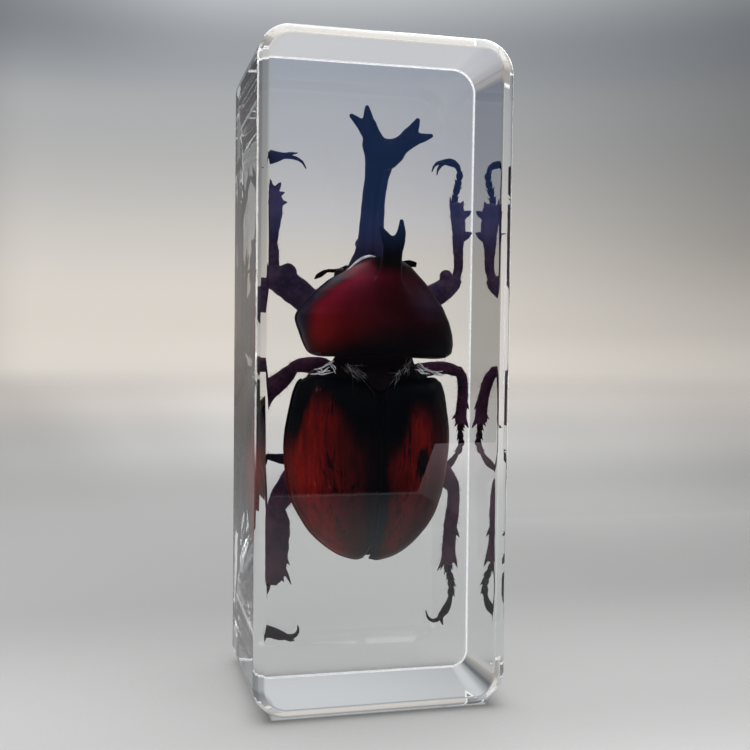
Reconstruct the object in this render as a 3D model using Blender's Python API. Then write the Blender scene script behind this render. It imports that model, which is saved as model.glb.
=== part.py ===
"""Clear cast-resin block that stands on its narrow end.

The block is one solid casting.  Its front (-Y) came out of a mould with
rounded corners and a bevelled rim whose two edges are softened; its back
(+Y) is the open side of the mould, ground flat, so its rim is nearly sharp.

Frame: metres, +Z up, origin at the centre of the base, front face towards -Y.
"""

import math

import bmesh
import bpy

# ---- driving dimensions, metres -------------------------------------------
HEIGHT = 0.1100          # along Z, the long side, standing
WIDTH = 0.0423           # along X
DEPTH = 0.0336           # along Y
CORNER_R = 0.0055        # the four corners seen from the front
CORNER_SEGMENTS = 16
FRONT_BEVEL = 0.0020     # 45 degree bevel of the moulded front rim
BEVEL_SOFT = 0.00035     # softening of the bevel's two edges
BEVEL_SOFT_SEGMENTS = 3
BACK_RIM = 0.00035       # broken edge of the ground back
BACK_RIM_SEGMENTS = 2

RESIN_COLOUR = (0.93, 0.95, 0.96, 1.0)
RESIN_IOR = 1.49


def clear_scene():
    for obj in list(bpy.data.objects):
        bpy.data.objects.remove(obj, do_unlink=True)
    for mesh in list(bpy.data.meshes):
        bpy.data.meshes.remove(mesh)


def resin_material():
    mat = bpy.data.materials.new("clear_resin")
    mat.use_nodes = True
    shader = mat.node_tree.nodes["Principled BSDF"]
    shader.inputs["Base Color"].default_value = RESIN_COLOUR
    shader.inputs["Metallic"].default_value = 0.0
    shader.inputs["Roughness"].default_value = 0.02
    shader.inputs["IOR"].default_value = RESIN_IOR
    shader.inputs["Transmission Weight"].default_value = 1.0
    return mat


def edges_where(bm, test):
    return [e for e in bm.edges if test(e)]


def along(edge, axis):
    d = edge.verts[1].co - edge.verts[0].co
    return abs(d[axis]) > 0.999 * d.length


def both_at(edge, axis, value):
    return all(abs(v.co[axis] - value) < 1e-6 for v in edge.verts)


def outer_rim(bm, y):
    """Edges of the outline at this depth: one of their faces lies in the end plane."""
    found = []
    for e in bm.edges:
        if not both_at(e, 1, y) or len(e.link_faces) != 2:
            continue
        flat = [abs(f.normal.y) > 0.999 for f in e.link_faces]
        if flat.count(True) == 1:
            found.append(e)
    return found


def rim_at(bm, y):
    """Edges that go round the block at this depth."""
    return edges_where(bm, lambda e: both_at(e, 1, y))


def build_block():
    bm = bmesh.new()
    bmesh.ops.create_cube(bm, size=1.0)
    for v in bm.verts:
        v.co.x *= WIDTH
        v.co.y *= DEPTH
        v.co.z = (v.co.z + 0.5) * HEIGHT

    # the four long corners, which run front to back
    bmesh.ops.bevel(
        bm,
        geom=edges_where(bm, lambda e: along(e, 1)),
        offset=CORNER_R,
        offset_type="OFFSET",
        segments=CORNER_SEGMENTS,
        profile=0.5,
        affect="EDGES",
        clamp_overlap=True,
    )
    bm.normal_update()

    # bevelled front rim, the softening of its inner and outer edge, then the
    # nearly sharp back rim
    for pick, y, width, segments in (
        (outer_rim, -DEPTH / 2, FRONT_BEVEL, 1),
        (outer_rim, -DEPTH / 2, BEVEL_SOFT, BEVEL_SOFT_SEGMENTS),
        (rim_at, -DEPTH / 2 + FRONT_BEVEL, BEVEL_SOFT, BEVEL_SOFT_SEGMENTS),
        (outer_rim, DEPTH / 2, BACK_RIM, BACK_RIM_SEGMENTS),
    ):
        bmesh.ops.bevel(
            bm,
            geom=pick(bm, y),
            offset=width,
            offset_type="OFFSET",
            segments=segments,
            profile=0.5,
            affect="EDGES",
            clamp_overlap=True,
        )
        bm.normal_update()

    bmesh.ops.recalc_face_normals(bm, faces=bm.faces)
    mesh = bpy.data.meshes.new("resin_block")
    bm.to_mesh(mesh)
    bm.free()
    mesh.shade_smooth()
    mesh.set_sharp_from_angle(angle=math.radians(30))
    mesh.materials.append(resin_material())
    obj = bpy.data.objects.new("resin_block", mesh)
    bpy.context.scene.collection.objects.link(obj)
    return obj


clear_scene()
build_block()
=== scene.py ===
import math

import bpy
import numpy as np
from mathutils import Matrix, Vector


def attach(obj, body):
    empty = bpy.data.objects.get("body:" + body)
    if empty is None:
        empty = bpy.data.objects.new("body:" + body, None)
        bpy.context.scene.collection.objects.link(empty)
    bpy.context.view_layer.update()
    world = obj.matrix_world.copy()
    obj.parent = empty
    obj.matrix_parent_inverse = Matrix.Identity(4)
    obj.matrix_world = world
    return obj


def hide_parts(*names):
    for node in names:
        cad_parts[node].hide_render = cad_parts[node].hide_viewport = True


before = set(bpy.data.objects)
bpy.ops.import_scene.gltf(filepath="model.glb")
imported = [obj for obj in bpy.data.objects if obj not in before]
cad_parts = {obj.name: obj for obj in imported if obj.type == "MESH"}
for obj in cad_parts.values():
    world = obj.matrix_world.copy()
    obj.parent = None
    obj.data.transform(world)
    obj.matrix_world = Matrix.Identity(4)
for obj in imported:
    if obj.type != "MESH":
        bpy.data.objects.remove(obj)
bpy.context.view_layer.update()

# A horned beetle sealed in a clear cast block.  Every length below is in millimetres in the block's own frame:
# X across the block, Y through it (the front face is at -Y), Z up.  Meshes are written in metres.
MM = 0.001
BX, BY, BZ = 42.3, 33.6, 110.0          # block width, depth, height
CORNER_R, BACK_R = 5.5, 0.20
# front rim: (from, to) direction of the surface in degrees off the front face, radius, steps: narrow lands left by the
# polishing, each nearly flat, with tight rounds between them
FRONT_RIM = ((0, 33, 0.90, 9), (33, 37, 14.0, 5), (37, 46, 0.50, 4), (46, 49, 13.0, 5), (49, 60, 0.50, 4), (60, 63, 7.0, 3), (63, 90, 0.70, 8))
RIM_LEFT, RIM_RIGHT = 0.90, 1.33         # the bevel is a little narrower on the left and wider on the right
BACK_CORNER = {1: 4.3, -1: 3.0}          # corner radius at the back: upper pair, lower pair
IOR = 1.49
SEALED_IOR = 1.12                        # of cuticle set in resin, which mirrors far less than cuticle in air

# ------------------------------------------------------------------------------------------------ mesh helpers


def mesh_object(name, verts, faces, mat, smooth=True, normals=None):
    """verts in mm; faces is an (n, 3) or (n, 4) array, or a list of lists."""
    me = bpy.data.meshes.new(name)
    v = np.asarray(verts, np.float64) * MM
    if isinstance(faces, np.ndarray):
        n, k = faces.shape
        me.vertices.add(len(v))
        me.vertices.foreach_set("co", v.astype(np.float32).ravel())
        me.loops.add(n * k)
        me.loops.foreach_set("vertex_index", faces.astype(np.int32).ravel())
        me.polygons.add(n)
        me.polygons.foreach_set("loop_start", np.arange(0, n * k, k, dtype=np.int32))
        me.update(calc_edges=True)
    else:
        me.from_pydata([tuple(p) for p in v], [], [list(f) for f in faces])
        me.update()
    me.validate()
    me.polygons.foreach_set("use_smooth", np.full(len(me.polygons), smooth))
    if normals is not None:
        me.normals_split_custom_set_from_vertices([tuple(q) for q in normals])
    me.materials.append(mat)
    ob = bpy.data.objects.new(name, me)
    bpy.context.scene.collection.objects.link(ob)
    return ob


def piece(name, verts, faces, mat, **kw):
    ob = mesh_object(name, verts, faces, mat, **kw)
    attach(ob, "root")
    return ob


def spline(points, n):
    """Catmull-Rom curve through the rows of points (any number of columns), n samples evenly spaced along it."""
    p = np.asarray(points, float)
    if len(p) == 2:
        t = np.linspace(0, 1, n)[:, None]
        return p[0] * (1 - t) + p[1] * t
    q = np.vstack([2 * p[0] - p[1], p, 2 * p[-1] - p[-2]])
    out = []
    m = 24
    for i in range(len(p) - 1):
        a, b, c, d = q[i:i + 4]
        t = np.linspace(0, 1, m, endpoint=False)[:, None]
        out.append(0.5 * ((2 * b) + (c - a) * t + (2 * a - 5 * b + 4 * c - d) * t ** 2 + (3 * b - a - 3 * c + d) * t ** 3))
    out = np.vstack(out + [p[-1:]])
    s = np.concatenate([[0], np.cumsum(np.linalg.norm(np.diff(out[:, :3], axis=0), axis=1))])
    u = np.linspace(0, s[-1], n)
    return np.stack([np.interp(u, s, out[:, j]) for j in range(out.shape[1])], 1)


def smin(a, b, k):
    if k <= 0:
        return np.minimum(a, b)
    h = np.maximum(k - np.abs(a - b), 0) / k
    return np.minimum(a, b) - h * h * k * 0.25


def wobble(x, y, z, size, seed):
    """Smooth, repeatable noise of about -1..1 made of a few plane waves; size is the width of its bumps in mm."""
    rng = np.random.RandomState(seed)
    out = 0.0
    for _ in range(7):
        d = rng.normal(size=3)
        d = d / np.linalg.norm(d) * (2 * math.pi / size) * rng.uniform(0.35, 1.1)
        out = out + np.sin(x * d[0] + y * d[1] + z * d[2] + rng.uniform(0, 6.28))
    return out / 3.2


class Clay:
    """A block of distance values in which organic shapes are blended, cut and then skinned with one closed mesh."""

    def __init__(self, lo, hi, h):
        self.lo, self.h = np.array(lo, float), float(h)
        self.n = np.ceil((np.array(hi, float) - self.lo) / h).astype(int) + 1
        self.F = np.full(self.n, 9.0, np.float32)
        self.ax = [self.lo[i] + h * np.arange(self.n[i]) for i in range(3)]

    def _window(self, lo, hi):
        a = [max(0, int(math.floor((lo[i] - self.lo[i]) / self.h))) for i in range(3)]
        b = [min(int(self.n[i]), int(math.ceil((hi[i] - self.lo[i]) / self.h)) + 1) for i in range(3)]
        return tuple(slice(x, max(x, y)) for x, y in zip(a, b))

    def _xyz(self, w):
        return (self.ax[0][w[0]][:, None, None], self.ax[1][w[1]][None, :, None], self.ax[2][w[2]][None, None, :])

    def merge(self, w, d, k, cut=False):
        if cut:
            self.F[w] = -smin(-self.F[w], d, k)
        else:
            self.F[w] = smin(self.F[w], d, k)

    def field(self, fn, lo=None, hi=None, k=0.0, cut=False):
        """fn(x, y, z) gives a distance; lo and hi bound where it matters."""
        lo = self.lo if lo is None else lo
        hi = self.lo + self.h * self.n if hi is None else hi
        w = self._window(lo, hi)
        self.merge(w, fn(*self._xyz(w)).astype(np.float32), k, cut)

    def ball(self, c, r, k=0.0, cut=False, rot=None):
        """Ellipsoid of semi-axes r about c."""
        c, r = np.array(c, float), np.array([r] * 3 if np.isscalar(r) else r, float)
        m = r.max() + k + 2 * self.h
        w = self._window(c - m, c + m)
        x, y, z = self._xyz(w)
        x, y, z = np.broadcast_arrays(x - c[0], y - c[1], z - c[2])
        if rot is not None:
            q = np.stack([x, y, z], -1) @ np.array(rot, float)
            x, y, z = q[..., 0], q[..., 1], q[..., 2]
        k0 = np.sqrt((x / r[0]) ** 2 + (y / r[1]) ** 2 + (z / r[2]) ** 2) + 1e-9
        k1 = np.sqrt((x / r[0] ** 2) ** 2 + (y / r[1] ** 2) ** 2 + (z / r[2] ** 2) ** 2) + 1e-9
        self.merge(w, (k0 * (k0 - 1) / k1).astype(np.float32), k, cut)

    def tube(self, pts, side=None, k=0.25, cut=False, n=None, power=2.0):
        """A tapering limb along pts, rows of (x, y, z, half width[, half thickness]).  side is the direction of the width."""
        p = np.asarray(pts, float)
        if p.shape[1] == 4:
            p = np.column_stack([p, p[:, 3]])
        if n or len(p) > 2:
            p = spline(p, n or 6 * (len(p) - 1) + 1)
        p[:, 3:] = np.maximum(p[:, 3:], 0.02)
        m = p[:, 3:].max() + k + 2 * self.h
        w = self._window(p[:, :3].min(0) - m, p[:, :3].max(0) + m)
        local = np.full([s.stop - s.start for s in w], 9.0, np.float32)
        side = np.array(side if side is not None else (0.31, 0.52, 0.79), float)
        for i in range(len(p) - 1):
            a, b = p[i, :3], p[i + 1, :3]
            ra, rb = p[i, 3:5], p[i + 1, 3:5]
            d = b - a
            L = np.linalg.norm(d)
            if L < 1e-6:
                continue
            t = d / L
            s = side - (side @ t) * t
            s = s / (np.linalg.norm(s) + 1e-9)
            nn = np.cross(t, s)
            mm = max(ra.max(), rb.max()) + k + 2 * self.h
            ww = self._window(np.minimum(a, b) - mm, np.maximum(a, b) + mm)
            lw = tuple(slice(q.start - o.start, q.stop - o.start) for q, o in zip(ww, w))
            x, y, z = self._xyz(ww)
            x, y, z = x - a[0], y - a[1], z - a[2]
            along = x * t[0] + y * t[1] + z * t[2]
            f = np.clip(along / L, 0, 1)
            u = x * s[0] + y * s[1] + z * s[2]
            v = x * nn[0] + y * nn[1] + z * nn[2]
            o = along - f * L
            A = ra[0] + (rb[0] - ra[0]) * f
            B = ra[1] + (rb[1] - ra[1]) * f
            M = np.minimum(A, B)
            if power == 2.0:
                q = np.sqrt((u / A) ** 2 + (v / B) ** 2 + (o / M) ** 2)
            else:
                q = (np.abs(u / A) ** power + np.abs(v / B) ** power + np.abs(o / M) ** power) ** (1 / power)
            local[lw] = np.minimum(local[lw], ((q - 1) * M).astype(np.float32))
        self.merge(w, local, k, cut)

    def roughen(self, amount, size, seed):
        x, y, z = self._xyz(tuple(slice(0, int(q)) for q in self.n))
        self.F += (amount * wobble(x, y, z, size, seed)).astype(np.float32)

    def skin(self):
        """Closed quad mesh of the zero level: one vertex in each cell that the surface crosses."""
        F, n = self.F, self.n
        F[0], F[-1], F[:, 0], F[:, -1], F[:, :, 0], F[:, :, -1] = 9, 9, 9, 9, 9, 9
        S = F < 0
        cells = tuple(int(q) - 1 for q in n)
        total = cells[0] * cells[1] * cells[2]
        ids_all, pts_all, quads = [], [], []
        for ax in range(3):
            a, b = [slice(None)] * 3, [slice(None)] * 3
            a[ax], b[ax] = slice(0, -1), slice(1, None)
            A, B = F[tuple(a)], F[tuple(b)]
            m = S[tuple(a)] != S[tuple(b)]
            idx = np.argwhere(m)
            if not len(idx):
                continue
            fa, fb = A[m].astype(float), B[m].astype(float)
            P = idx.astype(float)
            P[:, ax] += fa / (fa - fb)
            o1, o2 = [q for q in range(3) if q != ax]
            loop = []
            for d1, d2 in ((0, 0), (-1, 0), (-1, -1), (0, -1)):
                c = idx.copy()
                c[:, o1] += d1
                c[:, o2] += d2
                r = np.ravel_multi_index(c.T, cells)
                ids_all.append(r)
                pts_all.append(P)
                loop.append(r)
            q = np.stack(loop, 1)
            flip = (fa > 0) ^ (ax == 1)
            q[flip] = q[flip][:, ::-1]
            quads.append(q)
        ids, pts, quads = np.concatenate(ids_all), np.vstack(pts_all), np.vstack(quads)
        used, inv = np.unique(ids, return_inverse=True)
        cnt = np.bincount(inv)
        v = np.stack([np.bincount(inv, pts[:, j]) / cnt for j in range(3)], 1)
        faces = np.searchsorted(used, quads)
        # keep only the largest connected shell, so no loose crumbs are left
        parent = np.arange(len(v))
        e = np.vstack([faces[:, [0, 1]], faces[:, [1, 2]], faces[:, [2, 3]]])
        for _ in range(200):
            lab = np.minimum(parent[e[:, 0]], parent[e[:, 1]])
            new = parent.copy()
            np.minimum.at(new, e[:, 0], lab)
            np.minimum.at(new, e[:, 1], lab)
            new = np.minimum(new, new[new])
            if (new == parent).all():
                break
            parent = new
        names, counts = np.unique(parent, return_counts=True)
        if len(names) > 1:
            keep = parent == names[counts.argmax()]
            faces = faces[keep[faces[:, 0]]]
            remap = np.cumsum(keep) - 1
            v, faces = v[keep], remap[faces]
        return self.lo + v * self.h, faces


def turn(v, angle_deg, axis, centre):
    m = np.array(Matrix.Rotation(math.radians(angle_deg), 3, axis))
    c = np.array(centre, float)
    return (v - c) @ m.T + c


def loft(path, radii, sides=8, side=None, flat=1.0, cap=True):
    """Closed tube of rings; radii per point.  Returns verts, faces (list)."""
    p = np.asarray(path, float)
    r = np.asarray(radii, float) * np.ones(len(p))
    t = np.gradient(p, axis=0)
    t /= np.linalg.norm(t, axis=1)[:, None] + 1e-12
    ref = np.array(side if side is not None else (0.3, 0.5, 0.8), float)
    verts, faces = [], []
    for i in range(len(p)):
        s = ref - (ref @ t[i]) * t[i]
        s /= np.linalg.norm(s) + 1e-12
        n = np.cross(t[i], s)
        for j in range(sides):
            a = 2 * math.pi * j / sides
            verts.append(p[i] + r[i] * (math.cos(a) * s + flat * math.sin(a) * n))
    for i in range(len(p) - 1):
        for j in range(sides):
            k = (j + 1) % sides
            faces.append((i * sides + j, i * sides + k, (i + 1) * sides + k, (i + 1) * sides + j))
    if cap:
        faces.append(tuple(range(sides - 1, -1, -1)))
        faces.append(tuple((len(p) - 1) * sides + j for j in range(sides)))
    return verts, faces


class Heap:
    """Many small shells joined in one mesh."""

    def __init__(self):
        self.v, self.f = [], []

    def add(self, v, f):
        o = len(self.v)
        self.v += list(v)
        self.f += [tuple(o + i for i in q) for q in f]


def hairs(roots, dirs, lengths, radius, bend, seed, segs=4, sides=3, jitter=0.25):
    """Fine tapering hairs, each a closed three-sided tube, bent by a common vector and a little by chance."""
    rng = np.random.RandomState(seed)
    heap = Heap()
    bend = np.array(bend, float)
    for r0, d0, L in zip(roots, dirs, lengths):
        d = np.array(d0, float) + rng.normal(size=3) * jitter
        d /= np.linalg.norm(d)
        b = bend + rng.normal(size=3) * jitter * 0.6
        t = np.linspace(0, 1, segs + 1)[:, None]
        path = np.array(r0) + L * (d * t + 0.5 * b * t * t)
        rad = radius * (1 - 0.85 * t[:, 0]) * rng.uniform(0.75, 1.2)
        heap.add(*loft(path, rad, sides, side=rng.normal(size=3)))
    return np.array(heap.v), heap.f


# ------------------------------------------------------------------------------------------------ material helpers


def new_mat(name):
    m = bpy.data.materials.new(name)
    m.use_nodes = True
    nt = m.node_tree
    bsdf = next(n for n in nt.nodes if n.type == "BSDF_PRINCIPLED")
    return m, nt, bsdf


def node(nt, kind, **props):
    n = nt.nodes.new(kind)
    for key, val in props.items():
        if key.startswith("in_"):
            n.inputs[key[3:].replace("_", " ")].default_value = val
        else:
            setattr(n, key, val)
    return n


def math_node(nt, op, a, b=None, c=None, clamp=False):
    n = nt.nodes.new("ShaderNodeMath")
    n.operation = op
    n.use_clamp = clamp
    for i, q in enumerate((a, b, c)):
        if q is None:
            continue
        if isinstance(q, (int, float)):
            n.inputs[i].default_value = q
        else:
            nt.links.new(q, n.inputs[i])
    return n.outputs[0]


def smooth_step(nt, value, lo, hi):
    """0 at lo to 1 at hi, smoothly; lo may be above hi."""
    n = nt.nodes.new("ShaderNodeMapRange")
    n.interpolation_type = "SMOOTHSTEP"
    if lo < hi:
        a, b, c, d = lo, hi, 0.0, 1.0
    else:
        a, b, c, d = hi, lo, 1.0, 0.0
    n.inputs[1].default_value, n.inputs[2].default_value = a, b
    n.inputs[3].default_value, n.inputs[4].default_value = c, d
    nt.links.new(value, n.inputs[0])
    return n.outputs[0]


def coords(nt, scale=(1, 1, 1), shift=(0, 0, 0)):
    tc = nt.nodes.new("ShaderNodeTexCoord")
    mp = nt.nodes.new("ShaderNodeMapping")
    mp.inputs["Scale"].default_value = scale
    mp.inputs["Location"].default_value = shift
    nt.links.new(tc.outputs["Object"], mp.inputs["Vector"])
    return mp.outputs["Vector"]


def noise(nt, scale, detail=3.0, rough=0.55, vec=None, stretch=(1, 1, 1), shift=(0, 0, 0), distortion=0.0):
    n = nt.nodes.new("ShaderNodeTexNoise")
    n.inputs["Scale"].default_value = scale
    n.inputs["Detail"].default_value = detail
    n.inputs["Roughness"].default_value = rough
    n.inputs["Distortion"].default_value = distortion
    nt.links.new(vec or coords(nt, stretch, shift), n.inputs["Vector"])
    return n.outputs["Fac"]


def mix(nt, fac, a, b):
    n = nt.nodes.new("ShaderNodeMix")
    n.data_type = "RGBA"
    n.clamp_factor = True
    if isinstance(fac, (int, float)):
        n.inputs[0].default_value = fac
    else:
        nt.links.new(fac, n.inputs[0])
    for i, q in ((6, a), (7, b)):
        if isinstance(q, (tuple, list)):
            n.inputs[i].default_value = (*q, 1.0) if len(q) == 3 else q
        else:
            nt.links.new(q, n.inputs[i])
    return n.outputs[2]


def bump(nt, height, distance, strength=1.0, chain=None):
    n = nt.nodes.new("ShaderNodeBump")
    n.inputs["Strength"].default_value = strength
    n.inputs["Distance"].default_value = distance
    nt.links.new(height, n.inputs["Height"])
    if chain is not None:
        nt.links.new(chain, n.inputs["Normal"])
    return n.outputs["Normal"]


def pits(nt, scale, lo=0.05, hi=0.22, stretch=(1, 1, 1)):
    """Fine punctures: 0 at the centre of each pit, 1 between them."""
    n = nt.nodes.new("ShaderNodeTexVoronoi")
    n.inputs["Scale"].default_value = scale
    nt.links.new(coords(nt, stretch), n.inputs["Vector"])
    return smooth_step(nt, n.outputs["Distance"], lo, hi)


def split_xyz(nt):
    tc = nt.nodes.new("ShaderNodeTexCoord")
    s = nt.nodes.new("ShaderNodeSeparateXYZ")
    nt.links.new(tc.outputs["Object"], s.inputs[0])
    return s.outputs


# ------------------------------------------------------------------------------------------------ materials


def tri(nt, value, centre, half, soft):
    """1 within half of centre, falling smoothly to 0 over soft."""
    d = math_node(nt, "ABSOLUTE", math_node(nt, "SUBTRACT", value, centre))
    if isinstance(half, (int, float)):
        return smooth_step(nt, d, half + soft, max(half - soft, 0.0))
    q = math_node(nt, "DIVIDE", math_node(nt, "SUBTRACT", d, half), soft)
    return smooth_step(nt, q, 1.0, -1.0)


def curve(nt, value, points):
    """Broken straight line through (input, output) points, held flat outside them."""
    out = None
    for (x0, y0), (x1, y1) in zip(points[:-1], points[1:]):
        n = nt.nodes.new("ShaderNodeMapRange")
        n.clamp = True
        n.interpolation_type = "SMOOTHSTEP"
        n.inputs[1].default_value, n.inputs[2].default_value = x0, x1
        n.inputs[3].default_value, n.inputs[4].default_value = (y0, y1) if out is None else (0.0, y1 - y0)
        nt.links.new(value, n.inputs[0])
        out = n.outputs[0] if out is None else math_node(nt, "ADD", out, n.outputs[0])
    return out


def make_resin():
    m, nt, b = new_mat("clear_resin")
    b.inputs["Base Color"].default_value = (1, 1, 1, 1)
    b.inputs["Roughness"].default_value = 0.0
    b.inputs["IOR"].default_value = IOR
    b.inputs["Transmission Weight"].default_value = 1.0
    # the cast side face on the left is not quite true: it leans a little and has long shallow waves
    x, y, z = split_xyz(nt)
    side = smooth_step(nt, x, -0.02112, -0.02114)
    wave = math_node(nt, "MULTIPLY", noise(nt, 420, 2, 0.5, stretch=(1, 1, 0.05)), 0.000009)
    wave = math_node(nt, "ADD", wave, math_node(nt, "MULTIPLY", noise(nt, 190, 2, 0.5, stretch=(1, 0.8, 0.10), shift=(0, 0.3, 0.2)), 0.000024))
    foot = math_node(nt, "MULTIPLY", noise(nt, 260, 3, 0.55, stretch=(1, 1, 0.7), shift=(0, 0.1, 0.5)), math_node(nt, "MULTIPLY", smooth_step(nt, z, 0.034, 0.016), 0.000055))
    wave = math_node(nt, "ADD", wave, foot)
    lean = math_node(nt, "MULTIPLY_ADD", tri(nt, z, 0.040, 0.014, 0.008), 0.065, 0.035)
    h = math_node(nt, "MULTIPLY", side, math_node(nt, "ADD", wave, math_node(nt, "MULTIPLY", y, lean)))
    nt.links.new(bump(nt, h, 1.0), b.inputs["Normal"])
    out = next(n for n in nt.nodes if n.type == "OUTPUT_MATERIAL")
    ab = nt.nodes.new("ShaderNodeVolumeAbsorption")
    ab.inputs["Color"].default_value = (0.93, 0.95, 0.96, 1)
    ab.inputs["Density"].default_value = 12.0
    nt.links.new(ab.outputs[0], out.inputs["Volume"])
    return m


def make_shell(name, dark, light, rough=0.34, pit_scale=1500.0, pit_depth=0.00005, spec=0.22, tint_scale=260.0, tone_band=None):
    """Horn and leg cuticle: near black with a purple to brown cast, finely pitted; on the horn the colours carry a
    painted blue reflection.
    """
    m, nt, b = new_mat(name)
    n1 = noise(nt, tint_scale, 4, 0.6)
    n2 = noise(nt, tint_scale * 5, 3, 0.6, shift=(0.3, 0.1, 0.2))
    f = math_node(nt, "ADD", math_node(nt, "MULTIPLY", n1, 0.75), math_node(nt, "MULTIPLY", n2, 0.35))
    f = smooth_step(nt, f, 0.36, 0.74)
    col = mix(nt, f, dark, light)
    if tone_band:                            # (axis, from, to, colour): runs into another colour across the piece
        col = mix(nt, smooth_step(nt, split_xyz(nt)[tone_band[0]], tone_band[1], tone_band[2]), col, tone_band[3])
    nt.links.new(col, b.inputs["Base Color"])
    r = math_node(nt, "MULTIPLY_ADD", n2, 0.22, rough - 0.1)
    nt.links.new(r, b.inputs["Roughness"])
    b.inputs["Specular IOR Level"].default_value = spec
    b.inputs["IOR"].default_value = SEALED_IOR
    nrm = bump(nt, pits(nt, pit_scale), pit_depth, 0.7)
    nrm = bump(nt, noise(nt, 700, 4, 0.6), 0.00006, 0.5, nrm)
    nt.links.new(nrm, b.inputs["Normal"])
    return m


MAT = {}
MAT["resin"] = make_resin()


def make_frost():
    """Ground, frosted resin: whitish and dull, with fine scratches, and a painted glow."""
    m, nt, b = new_mat("frosted_edge")
    f = smooth_step(nt, noise(nt, 1400, 4, 0.7), 0.3, 0.7)
    nt.links.new(mix(nt, f, (0.72, 0.73, 0.74), (0.97, 0.97, 0.96)), b.inputs["Base Color"])
    b.inputs["Roughness"].default_value = 0.6
    # painted glow: the emission stands in for light that the polished faces trap in the block and let out here
    b.inputs["Emission Color"].default_value = (1.0, 1.0, 1.0, 1)
    b.inputs["Emission Strength"].default_value = 0.45
    nt.links.new(bump(nt, f, 0.00003, 0.6), b.inputs["Normal"])
    return m


MAT["frost"] = make_frost()
# the horn's navy cast, and the bluer band below 78 mm over the head and the root of the horn, are a painted reflection
# of bluish light on near-black cuticle
MAT["horn"] = make_shell("horn_cuticle_painted_blue_reflection", (0.0040, 0.0050, 0.0120), (0.0080, 0.0085, 0.0210), rough=0.40, spec=0.3, tone_band=(2, 0.084, 0.078, (0.026, 0.024, 0.066)))
MAT["leg"] = make_shell("leg_cuticle", (0.0200, 0.0130, 0.0360), (0.074, 0.0440, 0.0820), rough=0.42, spec=0.3)
MAT["leg_hind"] = make_shell("hind_leg_cuticle", (0.0190, 0.0100, 0.0200), (0.082, 0.0230, 0.0560), rough=0.42, spec=0.3)
# darker towards the front side of the body
MAT["under"] = make_shell("underside_cuticle", (0.010, 0.0040, 0.0035), (0.045, 0.013, 0.0085), rough=0.42, spec=0.12, tone_band=(1, 0.006, 0.001, (0.0060, 0.0022, 0.0022)))
MAT["dark"] = make_shell("joint_cuticle", (0.0030, 0.0022, 0.0028), (0.010, 0.0048, 0.0050), rough=0.45, spec=0.10)
MAT["eye"] = make_shell("eye_facets", (0.004, 0.003, 0.004), (0.012, 0.006, 0.006), rough=0.22, pit_scale=5200.0, pit_depth=0.00003, spec=0.3)
MAT["foot"] = make_shell("foot_cuticle", (0.0060, 0.0050, 0.0090), (0.024, 0.0120, 0.0220), rough=0.42, spec=0.3)


def body_coords(nt, lean_deg):
    """Across and up the beetle, in millimetres, with the body's small lean taken out."""
    x, y, z = split_xyz(nt)
    zm = math_node(nt, "MULTIPLY", z, 1000.0)
    xm = math_node(nt, "MULTIPLY_ADD", x, 1000.0, -0.15)
    xm = math_node(nt, "SUBTRACT", xm, math_node(nt, "MULTIPLY", math_node(nt, "SUBTRACT", 54.0, zm), math.tan(math.radians(lean_deg))))
    return xm, zm


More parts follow.
